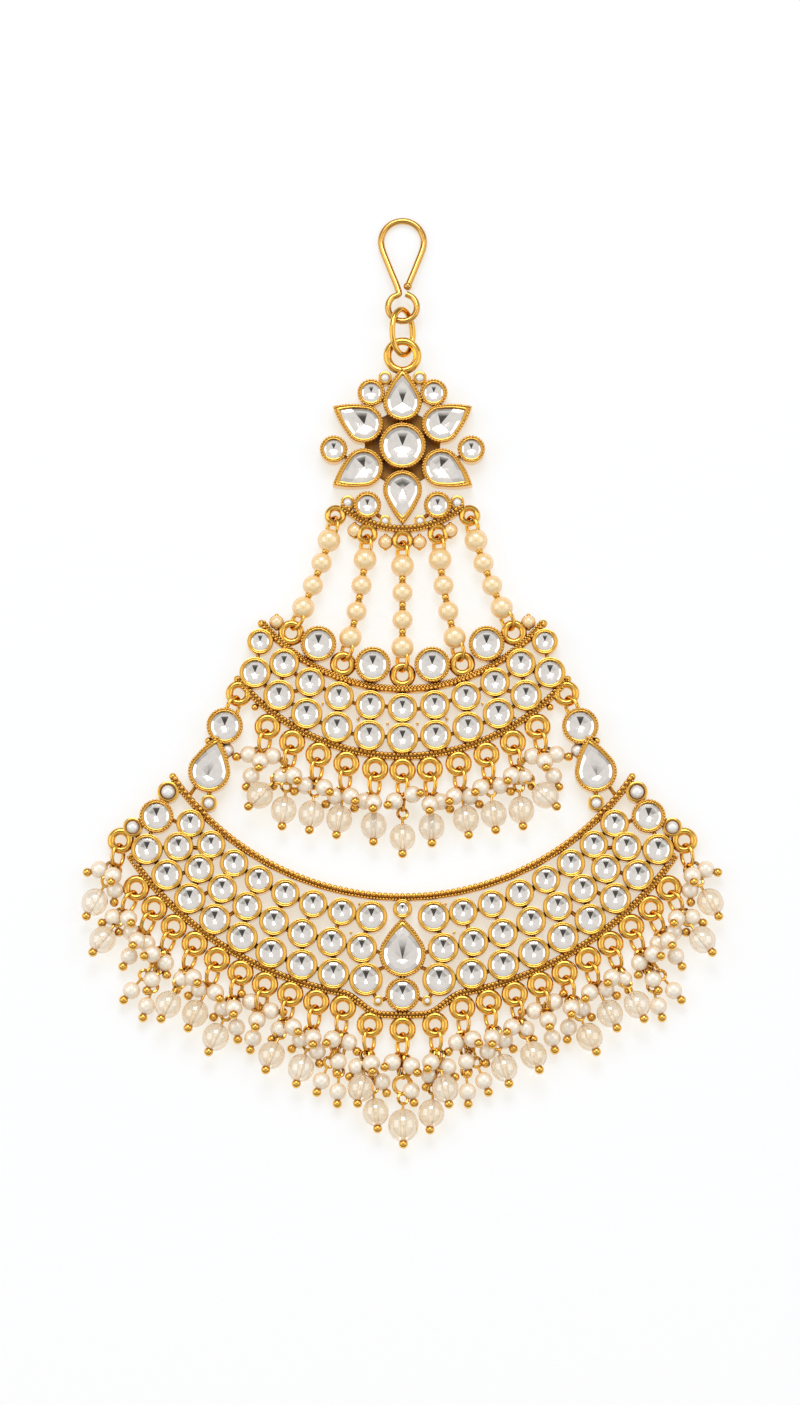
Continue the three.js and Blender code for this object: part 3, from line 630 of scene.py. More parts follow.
def add_room():
    """A plain pale room with a dim place overhead."""
    world = bpy.data.worlds.new("room")
    world.use_nodes = True
    tree = world.node_tree
    tree.nodes.clear()
    way = add(tree, "TexCoord", {}).outputs["Generated"]
    match = add(tree, "VectorMath", {"operation": "DOT_PRODUCT", 0: way, 1: DIM_TOWARDS})
    dim = add(tree, "MapRange", {"interpolation_type": "SMOOTHSTEP",
                                 "Value": match.outputs["Value"],
                                 "From Min": DIM_FROM, "From Max": DIM_TO})
    height = add(tree, "SeparateXYZ", {"Vector": way}).outputs["Z"]
    rise = add(tree, "MapRange", {"Value": height, "From Min": SIDES_UP_TO, "From Max": TOP_FROM})
    pale = add(tree, "Mix", {"data_type": "RGBA", 0: rise.outputs[0],
                             6: linear(ROOM_SIDES), 7: linear(ROOM_TOP)})
    colour = add(tree, "Mix", {"data_type": "RGBA", 0: dim.outputs[0],
                               6: pale.outputs[2], 7: linear(ROOM_DIM)})
    light = add(tree, "Background", {"Color": colour.outputs[2]})
    add(tree, "OutputWorld", {"Surface": light.outputs[0]})
    bpy.context.scene.world = world


add_room()
bpy.context.scene.view_settings.view_transform = "Standard"   # white stays white
print("room:", len(bpy.context.scene.world.node_tree.nodes), "nodes")

# %% [markdown]
# ## Settings
# A setting is a short tube of metal with a back. Its top edge is a broad lip, rolled nearly flat,
# with a fine groove round its middle, and inside the lip a steep wall goes down to the stone. The
# profile lists how far each ring is drawn in from the outside and how high it is, so the same few
# rows make every size. The round settings come first.

# %% Round settings
BEZEL_SIDES = 36
BEZEL_PROFILE = [
    # inset, height
    (0.16, 0.06), (0.04, 0.20), (0.0, 0.5), (0.0, 2.4), (0.02, 2.6), (0.08, 2.71), (0.2, 2.74),
    (0.29, 2.72), (0.33, 2.69), (0.37, 2.72), (0.46, 2.74), (0.57, 2.7), (0.63, 2.58),
    (0.66, 2.3), (0.68, 2.0),
]
SEAT = 1.3                # height of the middle of the floor under the stone
LIP = 0.62                # from the outside of a setting to the stone that shows


def round_outline(x, y, radius, count=BEZEL_SIDES):
    """The outline of a round setting, as a function of how far it is drawn in."""
    return lambda inset: circle(radius - inset, count) + (x, y)


def setting(outline, middle):
    """A closed cup of metal round a stone."""
    floor_point = (*middle, BEZEL_PROFILE[0][1])
    return stack(outline, BEZEL_PROFILE, ends=(floor_point, (*middle, SEAT)))


print("a setting is", max(height for _, height in BEZEL_PROFILE), "mm high")

# %% [markdown]
# ## Pear settings
# A pear is a round end and two sides that meet in a tip. The sides start where they touch the round
# and swell a little on the way. Drawn in by the same amount all round, the tip of a pear moves much
# further than its sides do, so the tip has a factor of its own.

# %% Pear outlines
PEAR_TIP = 3.2            # a pear's tip draws in this many times as far as its round end
PEAR_SWELL = 0.045        # how far its sides swell, as a share of their length


def pear_outline(x, y, turn, round_radius, length, steps=40, straight=6):
    """The outline of a pear setting with its round end at (x, y), its tip turned from +Y."""
    c, s = math.cos(math.radians(turn)), math.sin(math.radians(turn))

    def outline(inset):
        radius = round_radius - inset
        tip = length - PEAR_TIP * inset - radius
        opening = math.acos(radius / tip)
        angles = np.linspace(opening, 2 * np.pi - opening, steps)
        arc = np.stack([radius * np.sin(angles), radius * np.cos(angles)], axis=-1)[::-1]
        share = np.linspace(0, 1, straight + 1)[1:, None]
        side = np.array([0.0, tip]) - arc[-1]
        outwards = np.array([side[1], -side[0]])
        swell = 4 * PEAR_SWELL * share * (1 - share) * outwards * np.sign(arc[-1][0])
        up = arc[-1] + side * share + swell
        down = (up * (-1, 1))[::-1][1:]
        flat = np.vstack([arc, up, down])
        return flat @ np.array([[c, s], [-s, c]]) + (x, y)

    return outline


print("a pear's outline has", len(pear_outline(0, 0, 0, 3.0, 9.0)(0.0)), "points")

# %% [markdown]
# ## Milgrain
# Milgrain is a row of tiny beads rolled along the lip of a setting with a knurled wheel. It is one
# small ball copied along a line, evenly by the length of the line.

# %% Milgrain
MILGRAIN = {"radius": 0.23, "step": 0.5, "inset": 0.15, "height": 2.68}


def even_places(path, step, closed=False):
    """Places along a path, as near to the step apart as fits."""
    path = np.asarray(path, float)
    if closed:
        path = np.vstack([path, path[:1]])
    lengths = np.linalg.norm(np.diff(path, axis=0), axis=1)
    run = np.concatenate([[0.0], np.cumsum(lengths)])
    count = max(2, round(run[-1] / step))
    at = np.linspace(0, run[-1], count + 1)
    at = at[:-1] if closed else at
    return np.column_stack([np.interp(at, run, path[:, axis]) for axis in range(path.shape[1])])


def milgrain(outline):
    """Tiny beads round the lip of a setting."""
    places = even_places(outline(MILGRAIN["inset"]), MILGRAIN["step"], closed=True)
    bead = ball(MILGRAIN["radius"], sides=8, rows=5)
    return copies(bead, at_height(places, MILGRAIN["height"]))


print("milgrain round a 5 mm setting:",
      len(even_places(round_outline(0, 0, 2.5)(0.0), MILGRAIN["step"], closed=True)), "beads")

# %% [markdown]
# ## Beaded edging
# The edging of the crescents is the same idea, larger: a strip with a row of round beads on it and
# a finer row beside them. The strip is one section carried along the line of the edge.

# %% Edging
STRIP = [(-0.5, 0.08), (0.5, 0.08), (0.58, 0.25), (0.58, 1.6), (0.46, 1.85), (0.2, 1.95),
         (-0.2, 1.95), (-0.46, 1.85), (-0.58, 1.6), (-0.58, 0.25)]
EDGE_BEAD = {"radius": 0.34, "step": 0.66, "height": 2.03, "out": -0.26}
EDGE_SEED = {"radius": 0.27, "step": 0.5, "height": 1.9, "out": 0.36}
LARGE_BEAD = {"radius": 0.42, "step": 0.9, "height": 2.0, "out": 0.2}
LARGE_SEED = {"radius": 0.26, "step": 0.5, "height": 1.85, "out": -0.42}


def edging(place, half, count=90, bead_rows=(EDGE_BEAD, EDGE_SEED)):
    """A beaded strip along a line; place gives x and y for an angle and a distance out."""
    angles = np.linspace(-half, half, count)

    def line(out, height):
        return at_height(np.array([place(angle, out) for angle in angles]), height)

    shapes = [sweep(line(0.0, 0.0), STRIP)]
    for row, sides in zip(bead_rows, (12, 8)):
        beads = ball(row["radius"], sides=sides, rows=sides // 2 + 1)
        shapes.append(copies(beads, even_places(line(row["out"], row["height"]), row["step"])))
    return shapes


print("the strip under the beads is", max(height for _, height in STRIP), "mm high")

# %% [markdown]
# ## Cut of the stones
# A round stone is a ring of small faces sloping outwards, a narrow and nearly flat ring, and a wide
# and shallow eight-sided hollow in the middle. Seen from above, the upper face of the hollow
# mirrors the dim side of the room and the lower ones the soft box: a dark wedge above a white
# patch. Each face is made of its own points, so the edges between faces are crisp, and those of the
# hollow dip more towards the middle, which gives each a soft gradient.

# %% Faces
FAN_STEPS = 5             # rows of points from the middle of a hollow to its brink, both counted


def face_fan(middle, rim, deepest, curve):
    """Faces from a middle to each stretch of a rim, each with its own points."""
    shapes = []
    shares = np.linspace(0.0, 1.0, FAN_STEPS)[1:]
    quads = [[1 + 2 * k, 3 + 2 * k, 4 + 2 * k, 2 + 2 * k] for k in range(len(shares) - 1)]
    for start, end in zip(rim, np.roll(rim, -1, axis=0)):
        rows = [np.array([[*middle, start[2] - deepest]])]
        for share in shares:
            row = np.array([middle + (corner[:2] - middle) * share for corner in (start, end)])
            rows.append(at_height(row, start[2] - deepest * (1 - share) ** curve))
        faces = [np.array([[0, 1, 2]]), np.array(quads)]
        shapes.append({"points": np.vstack(rows), "faces": faces, "smooth": True})
    return shapes


def face_ring(outer, inner):
    """Flat faces between two rims."""
    corners = zip(outer, np.roll(outer, -1, axis=0), np.roll(inner, -1, axis=0), inner)
    return [{"points": np.array(four), "faces": [np.array([[0, 1, 2, 3]])], "smooth": False}
            for four in corners]


rims = [at_height(circle(radius, 8), 0.0) for radius in (2.0, 1.0)]
print("a ring between two eight-sided rims has", len(face_ring(*rims)), "faces")

# %% [markdown]
# ## Putting the cut together
# All the rings of a stone follow from its size: the sloping ring sets how high the top is, the flat
# ring leads down to the brink of the hollow, and the dip of the hollow's faces sets how deep it is.
# The base is plain, since the setting hides it.

# %% Cut
STONE = {
    "girdle": 2.5, "depth": 0.5,          # height of the widest place, and what lies below it
    "ring": 0.2, "ring_slope": 24.0,      # the ring of small faces, as a share of the stone
    "step_slope": 3.0,                    # degrees, as the slope above
    "hollow": 0.7, "dip": 14.0,           # the hollow's share, and its slope in the middle
    "curve": 1.5,                         # above 1, it is steeper in the middle than at the brink
    "faces": 8,                           # faces of the hollow
}
UNDER_LIP = 0.05          # how far a stone goes on under the lip that holds it


def cut_stone(outer, inner, middle, size, hollow_share, dip=STONE["dip"], deepest_at=None):
    """A stone from its rims, which have two points to each face of its hollow."""
    middle = np.array(middle)
    low_rim = STONE["girdle"] - STONE["depth"]
    top = STONE["girdle"] + STONE["ring"] * size * math.tan(math.radians(STONE["ring_slope"]))
    flat_width = (1 - STONE["ring"] - hollow_share) * size
    brink = top - flat_width * math.tan(math.radians(STONE["step_slope"]))
    deepest = size * hollow_share * math.tan(math.radians(dip)) / STONE["curve"]
    corners = middle + (inner[::2] - middle) * hollow_share / (1 - STONE["ring"])
    halfway = (corners + np.roll(corners, -1, axis=0)) / 2
    hollow = np.stack([corners, halfway], axis=1).reshape(-1, 2)
    base = stack(lambda inset: outer, [(0, low_rim), (0, STONE["girdle"])],
                 ends=((*middle, low_rim), None), smooth=False)
    return [base, *face_ring(at_height(outer, STONE["girdle"]), at_height(inner, top)),
            *face_ring(at_height(inner, top), at_height(hollow, brink)),
            *face_fan(middle if deepest_at is None else deepest_at,
                      at_height(corners, brink), deepest, STONE["curve"])]


def round_stone(x, y, radius):
    """A round stone, from the radius that shows."""
    count = 2 * STONE["faces"]
    start = math.pi / 2 - 2 * math.pi / count
    outer = circle(radius + UNDER_LIP, count, start) + (x, y)
    inner = circle(radius * (1 - STONE["ring"]), count, start) + (x, y)
    return cut_stone(outer, inner, (x, y), radius, STONE["hollow"])


print("a round stone has", len(round_stone(0, 0, 2.0)) - 1, "faces and a base")

# %% [markdown]
# ## Cut of the pears
# A pear has the same rings, but its hollow has six faces and takes more of its width, with an edge
# towards the tip. The deepest place lies nearer the round end, so its long upper faces are shallow
# and the short lower ones steeper. The flower's petals lie six different ways, so theirs is nearly
# in the middle and deeper: each then has a face that turns dark, whichever way it lies.

# %% Pear stones
PEAR_FACES = 6
PEAR_HOLLOW = 0.74        # as a share of the stone's size
PEAR_SHIFT = 0.28         # how far the deepest place is moved, as a share of the stone's size
PEAR_DIP = 8.5            # degrees
PETAL_SHIFT = 0.05
PETAL_DIP = 15.0


def pear_stone(x, y, turn, round_radius, length, dip=PEAR_DIP, shift=PEAR_SHIFT):
    """A pear-shaped stone, from the sizes of its setting."""
    inset = LIP - UNDER_LIP
    size = round_radius - inset
    steps = 2 * PEAR_FACES - 1
    outline = pear_outline(x, y, turn, round_radius, length, steps, straight=2)
    outer, inner = (np.roll(outline(drawn_in), 1, axis=0)
                    for drawn_in in (inset, inset + STONE["ring"] * size))
    away = math.radians(turn)
    deepest_at = np.array([x + shift * size * math.sin(away), y - shift * size * math.cos(away)])
    return cut_stone(outer, inner, (x, y), size, PEAR_HOLLOW, dip, deepest_at)


print("a pear stone has", len(pear_stone(0, 0, 0, 3.0, 9.0)) - 1, "faces and a base")

# %% [markdown]
# ## Lines of the crescents
# Every edge and every row of stones is part of a circle, given by its lowest point and its radius.
# The lower crescent's foot also drops into a rounded lobe in its middle. These are the sizes that
# the frame was built from, in the same words, with lips a tenth of a millimetre wider. Both halves
# come from one set of numbers, as they do when a jeweller folds a drawing down its middle.

# %% Crescent sizes
SIDES = (-1, 1)           # left and right of the middle
EDGE_HALF = 0.6           # half the width of an edging
EYE_HEIGHT = 1.45
EYE_RADIUS = 1.62         # of the middle line of an eye's wire, in the frame
EYE_GAP = 0.05            # between an eye's middle line and the edging
EYE_OUT = EDGE_HALF + EYE_RADIUS + EYE_GAP
# An arc is its lowest point and its radius. A place is x and y, and the radius of its setting.
UPPER = {
    "head": (-39.7, 28.8), "head_half": 51, "foot": (-50.6, 34.0), "foot_half": 50.7,
    "crown": (-36.3, 25.4), "crown_angles": (-32, -10.8, 10.8, 32), "crown_bezel": 2.85,
    "rings": (-37.4, 26.5), "ring_angles": (-42.3, -21.1, 0, 21.1, 42.3),
    "horn": (22.8, -32.1, 2.1), "corner": (26.2, -40.4),
}
UPPER_ROWS = [
    # lowest point, radius, count, step in degrees, radius of the settings
    (-42.9, 28.3, 9, 10.5, 2.4),
    (-47.8, 31.5, 11, 9.7, 2.53),
]
LOWER = {
    "head": (-73.3, 44.4), "head_half": 55, "foot": (-89.5, 52.7), "foot_half": 55.4,
    "lobe": (2.7, 3.5, 9.5),              # its depth, and how far out it starts and ends to rise
    "corner": (44.9, -64.2), "step": 6.03,
    "pear": {"round": 3.68, "length": 9.5, "tip": -76.7},
    "arm": (28.4, -45.8, 2.9),
    "arm_pear": {"tip": (29.4, -47.4), "turn": 14, "round": 3.35, "length": 9.3},
}
LOWER_ROWS = [
    # lowest point, radius, first angle, count on each side, radius of the settings
    (-76.8, 45.1, 6.3, 8, 2.29),
    (-82.0, 46.4, 8.0, 8, 2.39),
    (-86.9, 49.7, 6.7, 9, 2.52),
]


def mirrored(rows):
    """Rows of x, y and more, each on the left and then on the right."""
    return [(side * x, *rest) for x, *rest in rows for side in SIDES]


def arc_point(arc, angle, out=0.0):
    """A place on an arc, at an angle in degrees from its lowest point, some way outwards."""
    low_point, radius = arc
    a = math.radians(angle)
    reach = radius + out
    return np.array([reach * math.sin(a), low_point + radius - reach * math.cos(a)])


def upper_foot(angle, out):
    """A place on the foot of the upper crescent."""
    return arc_point(UPPER["foot"], angle, out)


def lower_foot(angle, out):
    """A place on the foot of the lower crescent, which has a lobe in its middle."""
    point = arc_point(LOWER["foot"], angle, out)
    depth, flat, end = LOWER["lobe"]
    share = min(1.0, max(0.0, (abs(point[0]) - flat) / (end - flat)))
    point[1] -= depth * (1 - share * share * (3 - 2 * share))
    return point


print("the lower crescent is", round(2 * lower_foot(LOWER["foot_half"], 0.0)[0], 1), "mm wide")

# %% [markdown]
# ## Eyes
# Along each foot runs a row of cast eyes that the fringe hangs from. They are chunky rings, taller
# than they are wide in section, at even steps along the edge. The drops near the ends hang a little
# outwards, so each eye's place comes with the way that its drop hangs.

# %% Cast eyes
CAST_EYE = {"radius": 1.52, "wire": 0.62, "rise": 0.72}
CORNER_HANG = 10          # degrees that the drops at the corners hang away from the middle
# First angle and step in degrees, count on each side, and how much of its angle a drop hangs at.
UPPER_EYES = {"first": 6.9, "step": 7.4, "count": 5, "splay": 0.3}
LOWER_EYES = {"first": 5.4, "step": 4.5, "count": 11, "splay": 0.5}


def cast_eye(place, radius=CAST_EYE["radius"], thickness=CAST_EYE["wire"]):
    """A chunky ring lying flat."""
    ring = at_height(circle(radius, 32) + place, EYE_HEIGHT)
    return sweep(ring, circle(1.0, 12) * (thickness, CAST_EYE["rise"]), closed=True)


def eye_places(foot, corner, first, step, count, splay):
    """Each eye's place, how its drop hangs in degrees, its rank from the middle and its side."""
    eyes = [(foot(0, EYE_OUT), 0.0, 0, 1)]
    for rank in range(1, count + 1):
        for side in SIDES:
            angle = side * (first + step * (rank - 1))
            eyes.append((foot(angle, EYE_OUT), angle * splay, rank, side))
    for side in SIDES:
        place = np.array([side * corner[0], corner[1]])
        eyes.append((place, side * CORNER_HANG, count + 1, side))
    return eyes


upper_eyes = eye_places(upper_foot, UPPER["corner"], **UPPER_EYES)[:-2]   # corners hold the arms
lower_eyes = eye_places(lower_foot, LOWER["corner"], **LOWER_EYES)
print("eyes:", len(upper_eyes), "above and", len(lower_eyes), "below")

# %% [markdown]
# ## Solder
# Neighbouring settings are joined by a speck of solder where they nearly touch, and that is all
# that holds the openwork together, so the specks are worked out from how close any two settings
# are.

# %% Solder
SOLDER = {
    "radius": 0.36, "low": 0.5, "high": 1.9,
    "into": 0.25,        # how far a bar goes into each setting, in millimetres
    "past": 0.02,        # how far it goes past its ends, as a share of its length
}
NEAR = 0.75              # settings closer than this are soldered
TOUCHING = 1e-3          # closer than this, there is no gap to bridge


def bar(start, end, radius=SOLDER["radius"]):
    """A rounded bar of solder, taller than it is wide, between two places."""
    start, end = np.asarray(start, float), np.asarray(end, float)
    height = (SOLDER["low"] + SOLDER["high"]) / 2
    rise = (SOLDER["high"] - SOLDER["low"]) / 2
    shares = np.linspace(-SOLDER["past"], 1 + SOLDER["past"], 4)
    path = np.array([(*(start + (end - start) * share), height) for share in shares])
    return sweep(path, circle(1.0, 12) * (radius, rise))


def solder_between(outlines):
    """Short bars of solder where two outlines nearly touch. An outline is an array of points."""
    bars = []
    for one, here in enumerate(outlines):
        for there in outlines[one + 1:]:
            distance = np.linalg.norm(there[None] - here[:, None], axis=-1)
            nearest = np.unravel_index(np.argmin(distance), distance.shape)
            if distance[nearest] < NEAR:
                start, end = here[nearest[0]], there[nearest[1]]
                apart = distance[nearest] > TOUCHING
                reach = unit(end - start) * SOLDER["into"] if apart else np.zeros(2)
                bars.append(bar(start - reach, end + reach))
    return bars


pair = [round_outline(x, 0, 2.4)(0.0) for x in (0, 5)]
print("two settings 0.2 mm apart are joined by", len(solder_between(pair)), "bar of solder")

# %% [markdown]
# ## Seed pearls in cups
# The smallest ornaments are seed pearls glued into little cups of metal. A cup is a shorter setting
# with one broad rounded lip, and the pearl stands well out of it, so its upper half is a full dome.
# The lip reaches right up to the pearl, or a dark line would show round it. Other pearls sit in a
# plain collar of wire, and the ends of the edgings are closed with a ball on a short neck.

# %% Cups
CUP_PROFILE = [
    # inset, height
    (0.12, 0.1), (0.0, 0.35), (0.0, 1.9), (0.05, 2.12), (0.2, 2.2), (0.42, 2.17), (0.56, 2.02),
    (0.6, 1.6),
]
CUP = {"sides": 24, "base": 0.1, "bed": 1.3, "pearl_at": 1.85}      # sides, then heights
SEED_SHARE = 0.66         # radius of the pearl, as a share of its cup's
COLLAR = {"height": 1.15, "wire": 0.17, "cap": 0.4, "share": 0.98, "pearl_at": 1.5}
NECK = {"share": 0.72, "out": 0.25, "height": 1.25}     # of the ball at the end of an edging
END_BALL = {"out": 0.95, "height": 1.35}


def cup_outline(x, y, radius):
    """The outline of a cup."""
    return round_outline(x, y, radius, CUP["sides"])


def cup(x, y, radius):
    """A cup of metal with a seed pearl in it."""
    metal = stack(cup_outline(x, y, radius), CUP_PROFILE,
                  ends=((x, y, CUP["base"]), (x, y, CUP["bed"])))
    seed = copies(ball(radius * SEED_SHARE, sides=20, rows=12), (x, y, CUP["pearl_at"]))
    return metal, seed


def collared_pearl(x, y, radius):
    """A small pearl in a gold collar, with a grain of gold above and below."""
    round_pearl = at_height(circle(radius * COLLAR["share"], 24) + (x, y), COLLAR["height"])
    cap_places = [(x, y + side * radius, COLLAR["height"]) for side in SIDES]
    metal = [wire(round_pearl, COLLAR["wire"], closed=True),
             copies(ball(COLLAR["cap"], sides=12, rows=7), cap_places)]
    return metal, copies(ball(radius, sides=20, rows=12), (x, y, COLLAR["pearl_at"]))


def rope_end(x, y, toward, radius):
    """The ball and neck that close the end of an edging, standing off towards a direction."""
    way = unit(np.array([*toward, 0.0]))
    neck_at = np.array([x, y, NECK["height"]]) + way * NECK["out"]
    ball_at = np.array([x, y, END_BALL["height"]]) + way * END_BALL["out"]
    return [copies(ball(radius * NECK["share"], sides=12, rows=7), neck_at),
            copies(ball(radius), ball_at)]


def trimmings(ends, balls, pearls):
    """Closed ends, loose balls and collared pearls, on both sides: the metal and the pearls."""
    metal, drops = [], []
    for side in SIDES:
        for x, y, toward, radius in ends:
            metal += rope_end(side * x, y, (side * toward[0], toward[1]), radius)
        for x, y, height, radius in balls:
            metal.append(copies(ball(radius), (side * x, y, height)))
        for x, y, radius in pearls:
            collar, drop = collared_pearl(side * x, y, radius)
            metal += collar
            drops.append(drop)
    return metal, drops


def cups(places):
    """Cups on both sides: the metal, the seed pearls, and the outlines for the solder."""
    pairs = [cup(*place) for place in mirrored(places)]
    outlines = [cup_outline(*place)(0.0) for place in mirrored(places)]
    return [metal for metal, _ in pairs], [seed for _, seed in pairs], outlines


print("a pearl of", round(1.6 * SEED_SHARE, 2), "mm radius sits in a cup of 1.6 mm")

# %% [markdown]
# ## Links
# A link is a ring of thin wire, squeezed oval and hung from the wire of a cast eye. It never lies
# quite flat, so it is rolled about its length, one way on the left and the other on the right.

# %% Links
LINK = {"half_width": 1.4, "half_length": 1.8, "wire": 0.33, "roll": 55}
LINK_REACH = 2.65        # from the middle of the eye's wire to the far end of the link
LINK_HOLD = 0.15         # headpins start this far inside that end


def link(eye, along, roll, radius):
    """An oval link round the wire of a flat eye, reaching away from the eye's centre."""
    along = np.append(np.asarray(along, float)[:2], 0.0)
    reach = radius + LINK_REACH - LINK["half_length"]
    centre = np.array([eye[0], eye[1], EYE_HEIGHT]) + along * reach
    turned = turned_frame(along, roll)
    ring = oval(LINK["half_width"], LINK["half_length"]) @ turned.T + centre
    return wire(ring, LINK["wire"], up=turned[:, 2], closed=True)


print("a link is", round(2 * (LINK["half_length"] + LINK["wire"]), 2), "mm long")

# %% [markdown]
# ## The upper crescent
# Two curved rows of small stones between beaded edges, with four larger stones along the top and
# five eyes between them for the strings of pearls. Only metal and air are between the stones: the
# floor shows through the gaps, with a grain of gold here and there that the caster left.

# %% Upper crescent
UPPER_PEARLS = [(20.2, -28.7, 1.02)]
UPPER_ENDS = [
    # x, y, direction in which it stands off, radius of the ball
    (21.9, -29.6, (0.75, 0.65), 0.66),
    (25.7, -38.6, (0.8, 0.6), 0.6),
]
UPPER_BALLS = [(23.6, -42.6, 1.3, 0.6)]      # x, y, height, radius
UPPER_GRAINS = [(7.1, -44.5, 0.3), (2.4, -45.2, 0.26), (18.0, -44.2, 0.26), (12.8, -42.0, 0.22)]
GRAIN_PROFILE = [(0.0, 0.1), (0.35, 0.9), (0.1, 1.2), (0.0, 1.4), (0.3, 1.6)]   # share, height
GRAIN_TOP = 1.68


def cluster(rounds):
    """Settings and stones for a list of x, y and radius."""
    metal = [setting(round_outline(x, y, radius), (x, y)) for x, y, radius in rounds]
    return metal, [face for x, y, radius in rounds for face in round_stone(x, y, radius - LIP)]


def grains(rows):
    """Little upright posts of metal with a round head, on both sides."""
    shapes = []
    for x, y, radius in mirrored(rows):
        profile = [(radius * share, height) for share, height in GRAIN_PROFILE]
        ends = ((x, y, profile[0][1]), (x, y, GRAIN_TOP))
        shapes.append(stack(round_outline(x, y, radius, 8), profile, ends=ends))
    return shapes


def upper_crescent():
    """Metal, stones and pearls of the upper crescent."""
    rows = []
    for low_point, radius, count, step, bezel in UPPER_ROWS:
        for index in range(count):
            angle = (index - (count - 1) / 2) * step
            rows.append((*arc_point((low_point, radius), angle), bezel))
    rows += mirrored([UPPER["horn"]])
    crown = [(*arc_point(UPPER["crown"], angle), UPPER["crown_bezel"])
             for angle in UPPER["crown_angles"]]
    metal, stones = cluster(rows)
    metal += [setting(round_outline(*place), place[:2]) for place in crown]
    metal += [milgrain(round_outline(*place)) for place in crown]
    metal += solder_between([round_outline(*place)(0.0) for place in rows + crown])
    metal += edging(lambda angle, out: arc_point(UPPER["head"], angle, -out), UPPER["head_half"])
    metal += edging(upper_foot, UPPER["foot_half"])
    metal += [cast_eye(arc_point(UPPER["rings"], angle)) for angle in UPPER["ring_angles"]]
    metal += [cast_eye(place) for place, *_ in upper_eyes]
    metal += [cast_eye(corner) for corner in mirrored([UPPER["corner"]])]
    trims, pearls = trimmings(UPPER_ENDS, UPPER_BALLS, UPPER_PEARLS)
    return metal + trims + grains(UPPER_GRAINS), stones, pearls


metal, stones, pearls = upper_crescent()
make_piece("upper_crescent_metal", [(cast_gold, metal)], "gilt_brass", "upper_crescent_frame")
make_piece("upper_crescent_small_stones", [(stone_glass, stones)], "foiled_glass",
           "upper_crescent_frame")
make_piece("upper_crescent_end_pearls", [(cream_pearl, pearls)], "cream_pearl",
           "upper_crescent_frame")

# %% [markdown]
# ## The lower crescent
# Three curved rows of stones, a pear-shaped stone in the middle with a small round one above and a
# larger one below, and an arm on each side that goes up to the upper crescent. The settings next to
# the middle are a little larger than the rest, which leads the eye to the pear.

# %% Lower crescent
FIRST_SETTINGS = (2.55, 2.45, 2.68)      # the setting next to the middle in each row
FOOT_STONE = (0.0, -89.0, 2.7)
HEAD_STONE = (0.0, -75.3, 1.55)
HORN_STONE = (39.2, -60.4, 2.7)
LOWER_CUPS = [(37.4, -56.4, 1.75), (43.0, -62.1, 1.6), (30.9, -58.2, 1.35), (3.9, -89.9, 0.85)]
LOWER_PEARLS = [(28.0, -49.6, 0.95), (42.3, -67.6, 0.72)]
LOWER_ENDS = [(36.1, -54.6, (0.6, 0.8), 0.62)]
LOWER_BALLS = [(31.0, -48.1, 1.5, 0.62)]
LOWER_GRAINS = [(8.2, -78.9, 0.26), (6.9, -74.3, 0.22), (13.0, -79.6, 0.24), (20.6, -76.2, 0.24)]
ARM_SOLDER = [
    # from and to: the horn's cup, the arm's cup and the arm's stone, each to the arm's pear
    ((33.0, -55.4), (34.0, -56.9)), ((30.9, -57.0), (30.9, -56.4)), ((28.9, -48.4), (28.6, -48.9)),
]


def lower_pears():
    """The three pears of the lower crescent: round end, turn, round radius and length of each."""
    pear, arm = LOWER["pear"], LOWER["arm_pear"]
    turn = math.radians(arm["turn"])
    reach = arm["length"] - arm["round"]
    x, y = arm["tip"][0] + reach * math.sin(turn), arm["tip"][1] - reach * math.cos(turn)
    middle = (0.0, pear["tip"] - pear["length"] + pear["round"], 0, pear["round"], pear["length"])
    return [middle] + [(side * x, y, side * arm["turn"], arm["round"], arm["length"])
                       for side in SIDES]


def lower_settings():
    """Metal and small stones of the rows, the pears, the cups and what solders them."""
    rows = []
    for (low_point, radius, first, count, bezel), near in zip(LOWER_ROWS, FIRST_SETTINGS):
        for index in range(count):
            place = arc_point((low_point, radius), first + LOWER["step"] * index)
            rows += mirrored([(*place, bezel if index else near)])
    rows.append(HEAD_STONE)
    fancy = [FOOT_STONE]
    for side in SIDES:
        fancy += [(side * x, y, radius) for x, y, radius in (HORN_STONE, LOWER["arm"])]
    metal, stones = cluster(rows + fancy)
    metal += [milgrain(round_outline(*place)) for place in fancy]
    pears = [pear_outline(*pear) for pear in lower_pears()]
    for outline, pear in zip(pears, lower_pears()):
        metal += [setting(outline, pear[:2]), milgrain(outline)]
    cup_metal, seeds, cup_outlines = cups(LOWER_CUPS)
    outlines = [round_outline(*place)(0.0) for place in rows + fancy]
    outlines += [outline(0.0) for outline in pears] + cup_outlines
    return metal + cup_metal + solder_between(outlines), stones, seeds


def lower_crescent():
    """Metal, stones and seed pearls of the lower crescent."""
    metal, stones, seeds = lower_settings()
    metal += edging(lambda angle, out: arc_point(LOWER["head"], angle, -out), LOWER["head_half"],
                    160, (LARGE_BEAD, LARGE_SEED))
    metal += edging(lower_foot, LOWER["foot_half"], 200)
    metal += [cast_eye(place) for place, *_ in lower_eyes]
    for side in SIDES:
        eye = np.array([side * UPPER["corner"][0], UPPER["corner"][1]])
        arm = np.array([side * LOWER["arm"][0], LOWER["arm"][1]])
        metal.append(link(eye, unit(arm - eye), side * LINK["roll"], EYE_RADIUS))
        metal += [bar((side * a, b), (side * c, d)) for (a, b), (c, d) in ARM_SOLDER]
    trims, collared = trimmings(LOWER_ENDS, LOWER_BALLS, LOWER_PEARLS)
    return metal + trims + grains(LOWER_GRAINS), stones, seeds + collared


